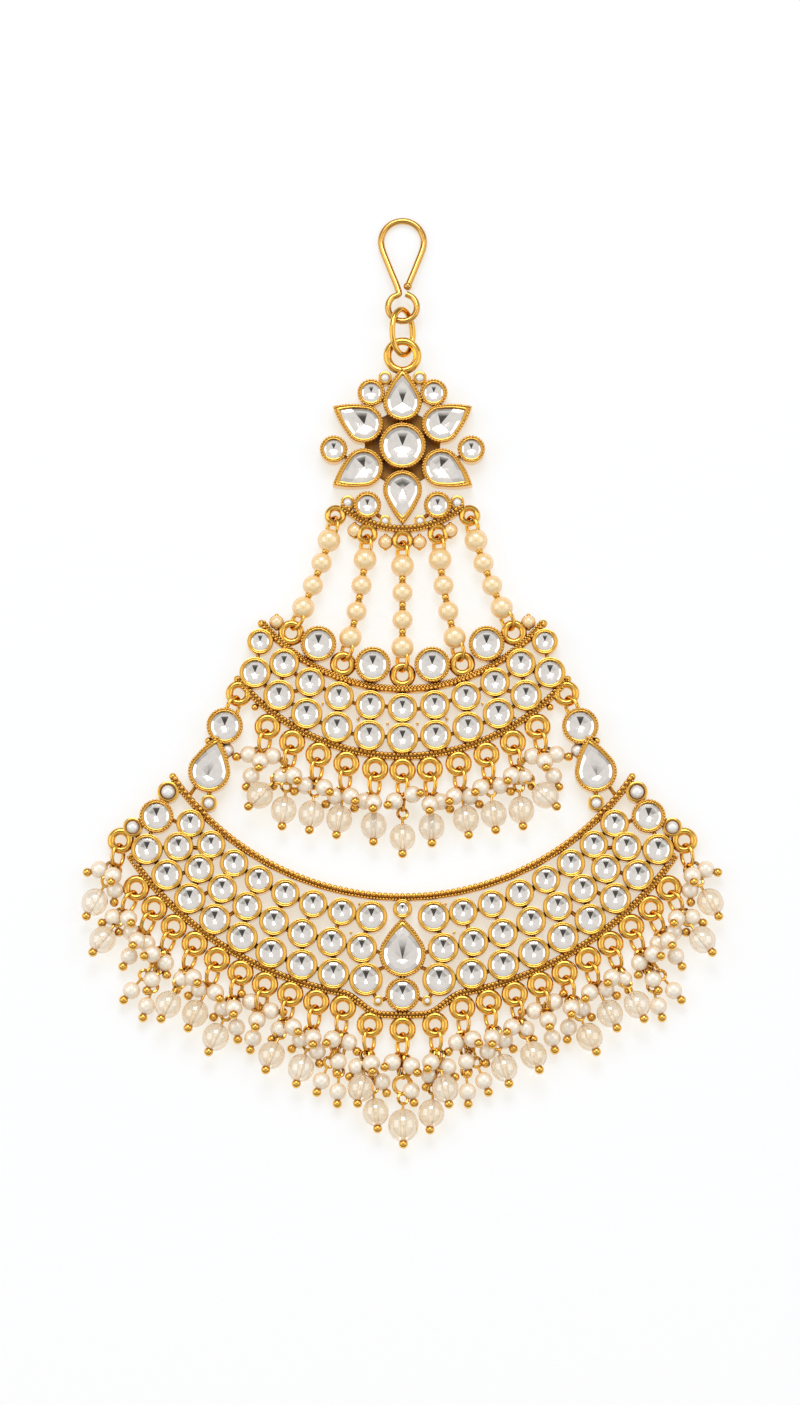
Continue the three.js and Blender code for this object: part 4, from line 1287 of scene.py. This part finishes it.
metal, stones, seeds = lower_crescent()
make_piece("lower_crescent_metal", [(cast_gold, metal)], "gilt_brass", "lower_crescent_frame")
make_piece("lower_crescent_small_stones", [(stone_glass, stones)], "foiled_glass",
           "lower_crescent_frame")
make_piece("lower_crescent_seed_pearls", [(grey_pearl, seeds)], "ivory_pearl",
           "lower_crescent_frame")

# %% [markdown]
# ## The flower
# Six pear-shaped petals stand round a large round stone, tips outwards, with small round settings
# between their tips. A sunk plate closes the gaps next to the round stone. Below is a short curved
# edging with five eyes for the strings of pearls, and above is a thick ring, the bail, that the
# hook's jump ring goes through.

# %% Flower
ROSETTE = {
    "centre": 3.76, "petal": (3.12, 8.9, 4.1), "turns": range(0, 360, 60), "round": 2.2,
    "rounds": [(30, 10.1), (93, 11.1), (150, 11.3)],      # angle from the tip, distance out
    "edge": (-13.5, 14.6), "edge_half": 42, "eye_angles": (-41, -20.4, 0, 20.4, 41),
    "eye": {"radius": 1.25, "wire": 0.52},
    "cups": [(2.8, 11.3, 1.15), (8.8, -9.25, 1.2), (2.8, -12.25, 1.0)],
    "collars": [(7.7, -13.7, 1.03), (2.72, -15.6, 1.03)],
}
PLATE = {"radius": 6.1, "profile": [(0.1, 0.15), (0.0, 0.25), (0.0, 0.4), (0.1, 0.5)]}
BAIL = {"y": 14.9, "radius": 2.43, "wire": 0.67, "neck": ((0.0, 12.6), (0.0, 11.2), 0.9)}
RAISED = 2.15             # height of the bail, the jump ring and the hook's eye


def petal_place(turn):
    """Middle of the round end of a petal."""
    round_radius, _, start = ROSETTE["petal"]
    reach = start + round_radius
    return -reach * math.sin(math.radians(turn)), reach * math.cos(math.radians(turn))


def rosette_eye(angle):
    """Middle of an eye under the flower."""
    return arc_point(ROSETTE["edge"], angle, EDGE_HALF + ROSETTE["eye"]["radius"])


def flower_settings():
    """Metal and small stones of the flower's settings, its seed pearls, and the solder."""
    rounds = mirrored([(at * math.sin(math.radians(angle)), at * math.cos(math.radians(angle)),
                        ROSETTE["round"]) for angle, at in ROSETTE["rounds"]])
    metal, stones = cluster(rounds)
    metal += [milgrain(round_outline(*place)) for place in rounds]
    centre = round_outline(0, 0, ROSETTE["centre"], 56)
    metal += [setting(centre, (0, 0)), milgrain(centre)]
    outlines = [centre(0.0)] + [round_outline(*place)(0.0) for place in rounds]
    for turn in ROSETTE["turns"]:
        outline = pear_outline(*petal_place(turn), turn, *ROSETTE["petal"][:2])
        metal += [setting(outline, petal_place(turn)), milgrain(outline)]
        outlines.append(outline(0.0))
    cup_metal, seeds, cup_outlines = cups(ROSETTE["cups"])
    return metal + cup_metal + solder_between(outlines + cup_outlines), stones, seeds


def flower():
    """Metal, sunk plate, stones and two kinds of pearl of the flower."""
    metal, stones, seeds = flower_settings()
    metal += edging(lambda angle, out: arc_point(ROSETTE["edge"], angle, out),
                    ROSETTE["edge_half"], 60)
    metal += [cast_eye(rosette_eye(angle), ROSETTE["eye"]["radius"], ROSETTE["eye"]["wire"])
              for angle in ROSETTE["eye_angles"]]
    collars, drops = [], []
    for place in mirrored(ROSETTE["collars"]):
        collar, drop = collared_pearl(*place)
        collars += collar
        drops.append(drop)
    bail = at_height(circle(BAIL["radius"], 48) + (0, BAIL["y"]), RAISED)
    metal += [*collars, wire(bail, BAIL["wire"], closed=True, sides=16), bar(*BAIL["neck"])]
    base, top = PLATE["profile"][0][1], PLATE["profile"][-1][1]
    plate = stack(round_outline(0, 0, PLATE["radius"], 48), PLATE["profile"],
                  ends=((0, 0, base), (0, 0, top)))
    return metal, plate, stones, seeds, drops


metal, plate, stones, seeds, drops = flower()
make_piece("flower_metal", [(cast_gold, metal), (sunk_shaded_gold, [plate])], "gilt_brass",
           "rosette_frame")
make_piece("flower_small_stones", [(stone_glass, stones)], "foiled_glass", "rosette_frame")
make_piece("flower_seed_pearls", [(grey_pearl, seeds), (cream_pearl, drops)], "ivory_pearl",
           "rosette_frame")

# %% [markdown]
# ## The larger stones
# The centre stone, the petals, the crown stones and the three pears are pieces of their own, each
# in the place of one solid of the frame. They are cut the same way as the small ones, only larger.

# %% Larger stones
def add_stone(name, shapes, node):
    """One foiled stone as a piece."""
    return make_piece(name, [(stone_glass, shapes)], "foiled_glass", node)


add_stone("centre_foiled_stone", round_stone(0, 0, ROSETTE["centre"] - LIP),
          "rosette_stone_centre")
for index, turn in enumerate(ROSETTE["turns"]):
    shapes = pear_stone(*petal_place(turn), turn, *ROSETTE["petal"][:2], PETAL_DIP, PETAL_SHIFT)
    add_stone(f"petal_{index + 1}_foiled_stone", shapes, f"petal_stone_{index + 1}")
for index, angle in enumerate(UPPER["crown_angles"]):
    x, y = arc_point(UPPER["crown"], angle)
    add_stone(f"crown_{index + 1}_foiled_stone", round_stone(x, y, UPPER["crown_bezel"] - LIP),
              f"crown_stone_{index + 1}")
pear_names = [("pear_foiled_stone", "pear_stone_centre"), ("arm_1_foiled_stone", "arm_stone_1"),
              ("arm_2_foiled_stone", "arm_stone_2")]
for pear, (name, node) in zip(lower_pears(), pear_names):
    add_stone(name, pear_stone(*pear), node)

# %% [markdown]
# ## Hook
# The hook is one piece of wire: an eye at the foot, two legs that nearly meet at the neck, and a
# round loop that slips into the hair. A smooth curve through a few bends is what the wire does
# between a jeweller's pliers. It slopes down from the raised eye until its loop rests on the floor.

# %% Hook
HOOK = {"eye_y": 23.0, "eye": 2.33, "neck_y": 26.2, "shoulder_y": 33.4, "loop": 3.47,
        "top_y": 34.3, "wire": 0.53}
HOOK_LEGS = {"neck": 0.75, "waist": 2.1, "open_neck": 0.85, "open_rise": 0.4, "end": 0.7}
HOOK_BENDS = {"eye": (75, -256, -30), "loop": (190, -11, -25)}  # degrees: first, past last, step
PER_SPAN = 8              # points of the curve for each bend


def smooth_through(points):
    """A centripetal Catmull-Rom curve through points."""
    points = np.asarray(points, float)
    points = np.vstack([2 * points[0] - points[1], points, 2 * points[-1] - points[-2]])
    lengths = np.linalg.norm(np.diff(points, axis=0), axis=1)
    knots = np.concatenate([[0], np.cumsum(lengths ** 0.5)])

    def between(places, ends, t):
        """The place at t between two places that the curve passes at the two ends."""
        return ((ends[1] - t) / (ends[1] - ends[0]) * places[0]
                + (t - ends[0]) / (ends[1] - ends[0]) * places[1])

    curve = []
    for i in range(1, len(points) - 2):
        p, k = points[i - 1:i + 3], knots[i - 1:i + 3]
        for t in np.linspace(k[1], k[2], PER_SPAN, endpoint=False):
            a = [between(p[j:j + 2], k[j:j + 2], t) for j in range(3)]
            b = [between(a[j:j + 2], (k[j], k[j + 2]), t) for j in range(2)]
            curve.append(between(b, k[1:3], t))
    return np.array([*curve, points[-2]])


def bend(radius, y, degrees):
    """Places on a round bend of the hook."""
    return [(radius * math.cos(a), y + radius * math.sin(a))
            for a in np.radians(np.arange(*degrees))]


def hook():
    """The hook's wire and the soldered ball that closes it."""
    slope = (RAISED - HOOK["wire"]) / (HOOK["top_y"] - HOOK["eye_y"])
    waist_y = (HOOK["neck_y"] + HOOK["shoulder_y"]) / 2
    flat = [*bend(HOOK["eye"], HOOK["eye_y"], HOOK_BENDS["eye"]),
            (-HOOK_LEGS["neck"], HOOK["neck_y"]), (-HOOK_LEGS["waist"], waist_y),
            *bend(HOOK["loop"], HOOK["top_y"], HOOK_BENDS["loop"]),
            (HOOK_LEGS["waist"], waist_y),
            (HOOK_LEGS["open_neck"], HOOK["neck_y"] + HOOK_LEGS["open_rise"])]
    points = [(x, y, RAISED - slope * max(0.0, min(y, HOOK["top_y"]) - HOOK["eye_y"]))
              for x, y in flat]
    return [wire(smooth_through(points), HOOK["wire"], sides=16),
            copies(ball(HOOK_LEGS["end"]), points[-1])]


make_piece("hook_wire", [(darkened_hook_gold, hook())], "gilt_brass", "hook")

# %% [markdown]
# ## Jump ring
# An oval ring of wire joins the hook's eye to the bail. It goes through both, so it cannot lie flat
# with them: it is rolled halfway over, between flat and standing.

# %% Jump ring
JUMP_RING = {"y": 18.85, "half_width": 2.35, "half_length": 3.75, "wire": 0.48, "roll": 45}
turned = turned_frame((0, 1), JUMP_RING["roll"])
ring = oval(JUMP_RING["half_width"], JUMP_RING["half_length"], 48) @ turned.T
ring = wire(ring + (0, JUMP_RING["y"], RAISED), JUMP_RING["wire"], up=turned[:, 2], closed=True,
            sides=14)
make_piece("jump_ring_wire", [(drawn_gold, [ring])], "gilt_brass", "jump_ring")

# %% [markdown]
# ## Strings of pearls
# Five short strings hang between the flower and the upper crescent. Each is a wire with a loop at
# both ends, and on it four pearls with a small round bead and a thin ring of gold between each two.
# The strings sag a little and bow inwards, so each one lies on a gentle curve.

# %% Strings of pearls
STRAND = {"pearls": (1.88, 1.66, 1.66, 1.82), "bow": 1.4, "rise": 1.2, "bow_at": 0.45,
          "first": 4.3, "last": 4.5, "pin": 0.24}
STRAND_STEPS = 200        # even steps along a string, to look places up by length
SPACER = {"bead": 0.62, "bead_at": -0.2, "ring": 0.62, "wire": 0.22, "ring_at": 0.42}


def strand_line(top, foot):
    """The curve of a string, in even steps, and its length."""
    bow = (-np.sign(round(top[0])) * STRAND["bow"], 0, STRAND["rise"])
    corner = top + (foot - top) * STRAND["bow_at"] + bow
    t = np.linspace(0, 1, 2 * STRAND_STEPS)[:, None]
    path = (1 - t) ** 2 * top + 2 * t * (1 - t) * corner + t ** 2 * foot
    length = np.linalg.norm(np.diff(path, axis=0), axis=1).sum()
    return even_places(path, length / STRAND_STEPS), length


def at_length(path, length, where):
    """The place on an even path this far along, and the direction there."""
    index = where / length * (len(path) - 1)
    row = int(np.clip(index, 0, len(path) - 2))
    ahead = path[row + 1] - path[row]
    return path[row] + ahead * (index - row), unit(ahead)


def spacers(path, length, wheres):
    """A bead and a ring of gold between each two pearls."""
    ring = at_height(circle(SPACER["ring"] - SPACER["wire"], 18), 0.0)
    ring = wire(ring, SPACER["wire"], closed=True, sides=8)
    bead = ball(SPACER["bead"], sides=16, rows=10)
    radii = STRAND["pearls"]
    shapes = []
    for radius, next_radius, where, next_where in zip(radii, radii[1:], wheres, wheres[1:]):
        middle = (where + radius + next_where - next_radius) / 2
        for shape, along in ((bead, SPACER["bead_at"]), (ring, SPACER["ring_at"])):
            place, way = at_length(path, length, middle + along)
            shapes.append(copies(shape, place, frame_along(way)))
    return shapes


def pearl_string(index):
    """Metal and pearls of one string."""
    top = np.array([*rosette_eye(ROSETTE["eye_angles"][index]), EYE_HEIGHT])
    foot = np.array([*arc_point(UPPER["rings"], UPPER["ring_angles"][index]), EYE_HEIGHT])
    path, length = strand_line(top, foot)
    wheres = np.linspace(STRAND["first"], length - STRAND["last"], len(STRAND["pearls"]))
    places = [at_length(path, length, where)[0] for where in wheres]
    down = unit((places[0] - top) * (1, 1, 0))
    up = unit((places[-1] - foot) * (1, 1, 0))
    radii, reach = (ROSETTE["eye"]["radius"], EYE_RADIUS), LINK_REACH - LINK_HOLD
    ends = [top + down * (radii[0] + reach), foot + up * (radii[1] + reach)]
    metal = [link(top, down, LINK["roll"], radii[0]), link(foot, up, -LINK["roll"], radii[1]),
             wire(np.array([ends[0], *places, ends[1]]), STRAND["pin"])]
    pearls = [copies(ball(radius, sides=32, rows=18), place)
              for radius, place in zip(STRAND["pearls"], places)]
    return metal + spacers(path, length, wheres), pearls


for index in range(len(ROSETTE["eye_angles"])):
    metal, pearls = pearl_string(index)
    node = f"pearl_strand_{index + 1}"
    make_piece(f"string_{index + 1}_wire", [(string_gold, metal)], "gilt_brass", node)
    make_piece(f"string_{index + 1}_pearls", [(cream_pearl, pearls)], "cream_pearl", node)

# %% [markdown]
# ## Bunches of beads
# Each eye carries a bunch of three to five beads on headpins. A workshop strings a few kinds of
# bunch and repeats them, and so does this table: each bead has a kind, how far it lies to the side,
# how far along, and its height. The bunches go from the middle eye outwards, alike on both sides.

# %% Bunches
BEAD = {"pearl": 1.4, "crystal": 2.1, "tip": 2.45}
BALL_END = 0.75           # radius of the ball at the end of a headpin
BALL_AT = 0.75            # its middle lies outside the bead by this share of that
BUNCHES = {
    # kind, how far aside, how far along, height
    "trio": [("pearl", -2.1, 5.0, 1.5), ("pearl", 0.1, 6.0, 3.6), ("pearl", 1.6, 5.2, 1.5),
             ("pearl", -0.6, 8.6, 1.5)],
    "centre": [("pearl", -2.0, 5.1, 3.4), ("pearl", 2.0, 5.2, 3.4), ("crystal", 0, 10.9, 2.1)],
    "spray": [("pearl", -1.7, 5.3, 1.6), ("pearl", 1.7, 5.6, 3.6), ("crystal", 0.1, 9.2, 2.1)],
    "drop": [("pearl", 1.5, 5.6, 3.2), ("pearl", -1.6, 5.4, 1.5), ("crystal", -0.7, 9.0, 2.1)],
    "double": [("pearl", 1.2, 5.7, 3.8), ("pearl", -1.6, 5.2, 1.6), ("crystal", -2.5, 8.2, 2.1),
               ("crystal", 0.6, 10.4, 2.1)],
    "trail": [("pearl", 0.6, 6.0, 3.6), ("pearl", -2.2, 6.2, 1.5), ("pearl", 1.7, 8.7, 1.4),
              ("crystal", -0.8, 10.6, 2.2)],
    "corner": [("pearl", -2.5, 5.2, 1.6), ("pearl", 0, 6.2, 3.6), ("pearl", 0.5, 8.8, 1.4),
               ("crystal", -2.0, 10.4, 2.1)],
    "pearls": [("pearl", -1.5, 5.4, 3.4), ("pearl", 1.4, 6.3, 1.5), ("pearl", -0.2, 8.8, 1.4),
               ("pearl", -1.8, 11.4, 1.5), ("pearl", 0.8, 13.1, 1.5)],
    "heart": [("pearl", 1.2, 6.4, 3.6), ("pearl", -2.0, 5.9, 1.5), ("pearl", 2.2, 9.0, 1.4),
              ("crystal", -1.6, 10.1, 2.2), ("crystal", 1.5, 13.4, 2.1)],
    "tip": [("pearl", -1.3, 5.9, 3.4), ("pearl", 2.1, 5.4, 3.2), ("pearl", -3.0, 8.8, 1.4),
            ("tip", 0, 15.0, 2.45)],
}
UPPER_BUNCHES = ["centre", "spray", "drop", "spray", "double", "trio"]
LOWER_BUNCHES = ["tip", "heart", "pearls", "trail", "drop", "trio", "trail", "drop", "spray",
                 "pearls", "trio", "drop", "corner"]


def hang_beads(eyes, bunches):
    """Every bead of a fringe before it settles."""
    items = []
    for number, (place, hang, rank, side) in enumerate(eyes):
        away = math.radians(hang)
        along = Vector((math.sin(away), -math.cos(away), 0))
        aside = Vector((-side * math.cos(away), -side * math.sin(away), 0))
        eye = Vector((*place, EYE_HEIGHT))
        end = EYE_RADIUS + LINK_REACH
        for kind, across, reach, height in BUNCHES[bunches[rank]]:
            spot = eye + along * reach + aside * across
            spot.z = height
            items.append({"drop": number, "kind": kind, "radius": BEAD[kind], "place": spot,
                          "root": eye + along * (end - LINK_HOLD),
                          "link": eye + along * (end - LINK["half_length"])})
    return items


upper_items = hang_beads(upper_eyes, UPPER_BUNCHES)
lower_items = hang_beads(lower_eyes, LOWER_BUNCHES)
print("beads:", len(upper_items), "above and", len(lower_items), "below")

# %% [markdown]
# ## Where the beads come to rest
# Laid down on a table, the beads push each other aside until none overlap. The frame's solids were
# placed by the same few rules, so running the rules again puts every detailed bead exactly where
# its plain solid is. A physics bake would do the same more slowly and not quite the same each time.

# %% Settling
SETTLE = {
    "rounds": 200, "near": 8,             # times over, and how near two beads have to be to push
    "beads": 0.3, "root": 1.1, "pin": 0.6, "own": 0.5, "link": 1.45,     # gaps kept, millimetres
}
MEET = 14                 # beads that start further apart than this never meet


def push_apart(bead, start, other, to, distance):
    """Move a bead, and another if given, until two places are nearly this far apart."""
    way = start - to
    short = distance - way.length
    if short > 0:
        way = way.normalized() * (short * 0.5)
        bead["place"] += way
        if other:
            other["place"] -= way


def ball_place(bead):
    """Middle of the ball end of a bead's headpin."""
    way = (bead["place"] - bead["root"]).normalized()
    return bead["place"] + way * (bead["radius"] + BALL_END * BALL_AT)


def nearest_on_pin(bead, point):
    """The place on a headpin that is nearest to a point."""
    pin = bead["place"] - bead["root"]
    share = (point - bead["root"]).dot(pin) / pin.dot(pin)
    return bead["root"] + pin * min(1.0, max(0.0, share))


def clear_of(bead, other):
    """Move a bead away from another drop's link and headpins."""
    radius = bead["radius"]
    push_apart(bead, bead["place"], None, other["root"], radius + SETTLE["root"])
    push_apart(bead, bead["place"], None, other["link"], radius + SETTLE["link"])
    push_apart(bead, bead["place"], None, nearest_on_pin(other, bead["place"]),
               radius + SETTLE["pin"])
    end = ball_place(bead)
    push_apart(bead, end, None, nearest_on_pin(other, end), BALL_END + SETTLE["pin"])


def clear_beads(bead, other):
    """Move two beads and their ball ends away from each other."""
    gap = SETTLE["beads"]
    push_apart(bead, bead["place"], other, other["place"], bead["radius"] + other["radius"] + gap)
    push_apart(bead, ball_place(bead), other, other["place"], BALL_END + other["radius"] + gap)
    push_apart(other, ball_place(other), bead, bead["place"], BALL_END + bead["radius"] + gap)
    push_apart(bead, ball_place(bead), other, ball_place(other), 2 * BALL_END + gap)


def settle(items):
    """Beads and ball ends push each other apart, and nothing sinks below the floor."""
    near = [[other for other in items[one + 1:] if (other["place"] - bead["place"]).length < MEET]
            for one, bead in enumerate(items)]
    for _ in range(SETTLE["rounds"]):
        for bead, others in zip(items, near):
            for other in others:
                if (bead["place"] - other["place"]).length < SETTLE["near"]:
                    clear_beads(bead, other)
                if bead["drop"] != other["drop"]:
                    clear_of(bead, other)
                    clear_of(other, bead)
            push_apart(bead, bead["place"], None, bead["root"], bead["radius"] + SETTLE["own"])
            bead["place"].z = max(bead["place"].z, bead["radius"])
            bead["place"].z += max(0.0, BALL_END - ball_place(bead).z)


for items in (upper_items, lower_items):
    settle(items)
    print("highest bead:", round(max(item["place"].z + item["radius"] for item in items), 2), "mm")

# %% [markdown]
# ## Clear beads
# The pearls of the fringe are plain balls. The clear beads are slightly longer than wide, with
# faint moulded ribs that bend the light. Their shape has no hole through it: a thin white tube
# inside stands for the hole's wall, which is all that clear glass shows of one.

# %% Clear beads
RIBS = 10
RIB_DEPTH = 0.004         # as a share of the bead's radius
BEAD_LONG = 1.08          # length of a clear bead, as a share of its width
BEAD_SIDES, BEAD_ROWS = 48, 20


def clear_bead_shape(radius):
    """A ribbed glass bead round the origin, long along Z."""
    turn = 2 * np.pi * np.arange(BEAD_SIDES) / BEAD_SIDES
    rib = 1 + RIB_DEPTH * np.cos(RIBS * turn)
    tall = -radius * BEAD_LONG
    rings = []
    for t in np.pi * np.arange(1, BEAD_ROWS) / BEAD_ROWS:
        width = radius * math.sin(t) * rib
        flat = np.column_stack([width * np.cos(turn), width * np.sin(turn)])
        rings.append(at_height(flat, tall * math.cos(t)))
    return skin(rings, ends=((0, 0, tall), (0, 0, -tall)))


print("a clear bead has", len(clear_bead_shape(2.1)["points"]), "points")

# %% [markdown]
# ## Headpins and chain
# A low bead hangs on a few small rings that reach from the link to its headpin, each turned a
# quarter from the last as in any chain. The headpin starts with a loop, runs through the bead, and
# ends in its ball. A pin that rides over other beads bends down at its end.

# %% Headpins
PIN = 0.22
PIN_LOOP = {"radius": 0.8, "wire": 0.27}
SHORT_PIN = 1.0          # bare pin between its loop and the bead
PIN_INTO = {"top": 0.97, "foot": 0.9, "bore": 0.93}   # where wires end in a bead, share of radius
CHAIN_RING = {"half_width": 0.75, "pitch": 1.55, "wire": 0.26, "overlap": 1.2}
TIP_RING = {"radius": 1.4, "wire": 0.34}  # holds the lowest bead
BORE = 0.3
HIGHEST_BALL = 5.52      # no ball end is higher than this


def upright_loop(half_width, half_length, turned, middle, radius, count):
    """A small ring of wire that stands along the Z axis of a frame."""
    ring = oval(half_width, half_length, count)[:, [0, 2, 1]] @ turned.T + middle
    return wire(ring, radius, up=turned[:, 1], closed=True, sides=8)


def chain(root, way, bare, frame_here):
    """Rings that fill a bare length from a root, each turned a quarter from the last."""
    rings = []
    count = max(0, round(bare / CHAIN_RING["pitch"]))
    for number in range(count):
        middle = root + way * bare * (number + 0.5) / count
        half_length = bare / count / 2 + CHAIN_RING["wire"] * CHAIN_RING["overlap"]
        turned = frame_here if number % 2 else frame_here[:, [1, 0, 2]] * (1, -1, 1)
        rings.append(upright_loop(CHAIN_RING["half_width"], half_length, turned, middle,
                                  CHAIN_RING["wire"], 20))
    return rings


def headpin(start, spot, end, radius, frame_here):
    """Loop, two lengths of wire and the ball of a headpin whose bead is at a spot."""
    way, across = frame_here[:, 2], frame_here[:, 0]
    size = PIN_LOOP["radius"]
    loop = upright_loop(size, size, frame_here, start + way * size, PIN_LOOP["wire"], 18)
    above = np.array([start + way * 2 * size, spot - way * radius * PIN_INTO["top"]])
    below = np.array([spot + way * radius * PIN_INTO["foot"], end])
    return [loop, wire(above, PIN, up=across), wire(below, PIN, up=across),
            copies(ball(BALL_END), end)]


def hang_bead(item):
    """Chain, headpin and all that holds one bead, and the frame that the bead lies in."""
    root, spot, end = (np.array(part) for part in (item["root"], item["place"], ball_place(item)))
    end[2] = min(end[2], HIGHEST_BALL)
    way = unit(spot - root)
    frame_here = frame_along(way)
    bare = np.linalg.norm(spot - root) - item["radius"] - 2 * PIN_LOOP["radius"] - SHORT_PIN
    metal, size = [], TIP_RING["radius"]
    if item["kind"] == "tip":
        bare -= 2 * size
        ring = oval(size, size) @ turned_frame(way).T + root + way * (bare + size)
        metal.append(wire(ring, TIP_RING["wire"], closed=True))
    rings = chain(root, way, bare, frame_here)
    start = root + way * bare if rings else root
    if item["kind"] == "tip":
        start = start + way * 2 * size
    return metal + rings + headpin(start, spot, end, item["radius"], frame_here), frame_here


print("the chain's rings are", CHAIN_RING["pitch"], "mm apart")

# %% [markdown]
# ## Every drop
# A drop is the link on its eye, the metal that holds its beads, and the beads. They are kept as
# pieces of metal, pearl and glass, so that each finish can be changed on its own.

# %% Drops
def hanging_drop(eye, items):
    """Metal, pearls, glass and bores of one drop."""
    place, hang, _, side = eye
    away = math.radians(hang)
    along = (math.sin(away), -math.cos(away))
    metal = [link(place, along, side * LINK["roll"], EYE_RADIUS)]
    pearls, glass, bores = [], [], []
    for item in items:
        holder, frame_here = hang_bead(item)
        metal += holder
        spot = np.array(item["place"])
        if item["kind"] == "pearl":
            pearls.append(copies(ball(item["radius"], sides=28, rows=16), spot))
        else:
            glass.append(copies(clear_bead_shape(item["radius"]), spot, frame_here))
            half = frame_here[:, 2] * item["radius"] * PIN_INTO["bore"]
            bores.append(wire(np.array([spot - half, spot + half]), BORE, up=frame_here[:, 0]))
    return metal, pearls, glass, bores


def add_fringe(name, eyes, items):
    """Every drop of a fringe, as pieces of metal, pearl and glass."""
    for number, eye in enumerate(eyes):
        node = f"{name}_{number + 1}"
        mine = [item for item in items if item["drop"] == number]
        metal, pearls, glass, bores = hanging_drop(eye, mine)
        make_piece(f"{node}_pins", [(drawn_gold, metal)], "gilt_brass", node)
        make_piece(f"{node}_pearls", [(ivory_pearl, pearls)], "ivory_pearl", node)
        if glass:
            layers = [(bead_glass, glass), (bead_bore, bores)]
            make_piece(f"{node}_glass", layers, "clear_bead", node)


add_fringe("upper_drop", upper_eyes, upper_items)
add_fringe("lower_drop", lower_eyes, lower_items)
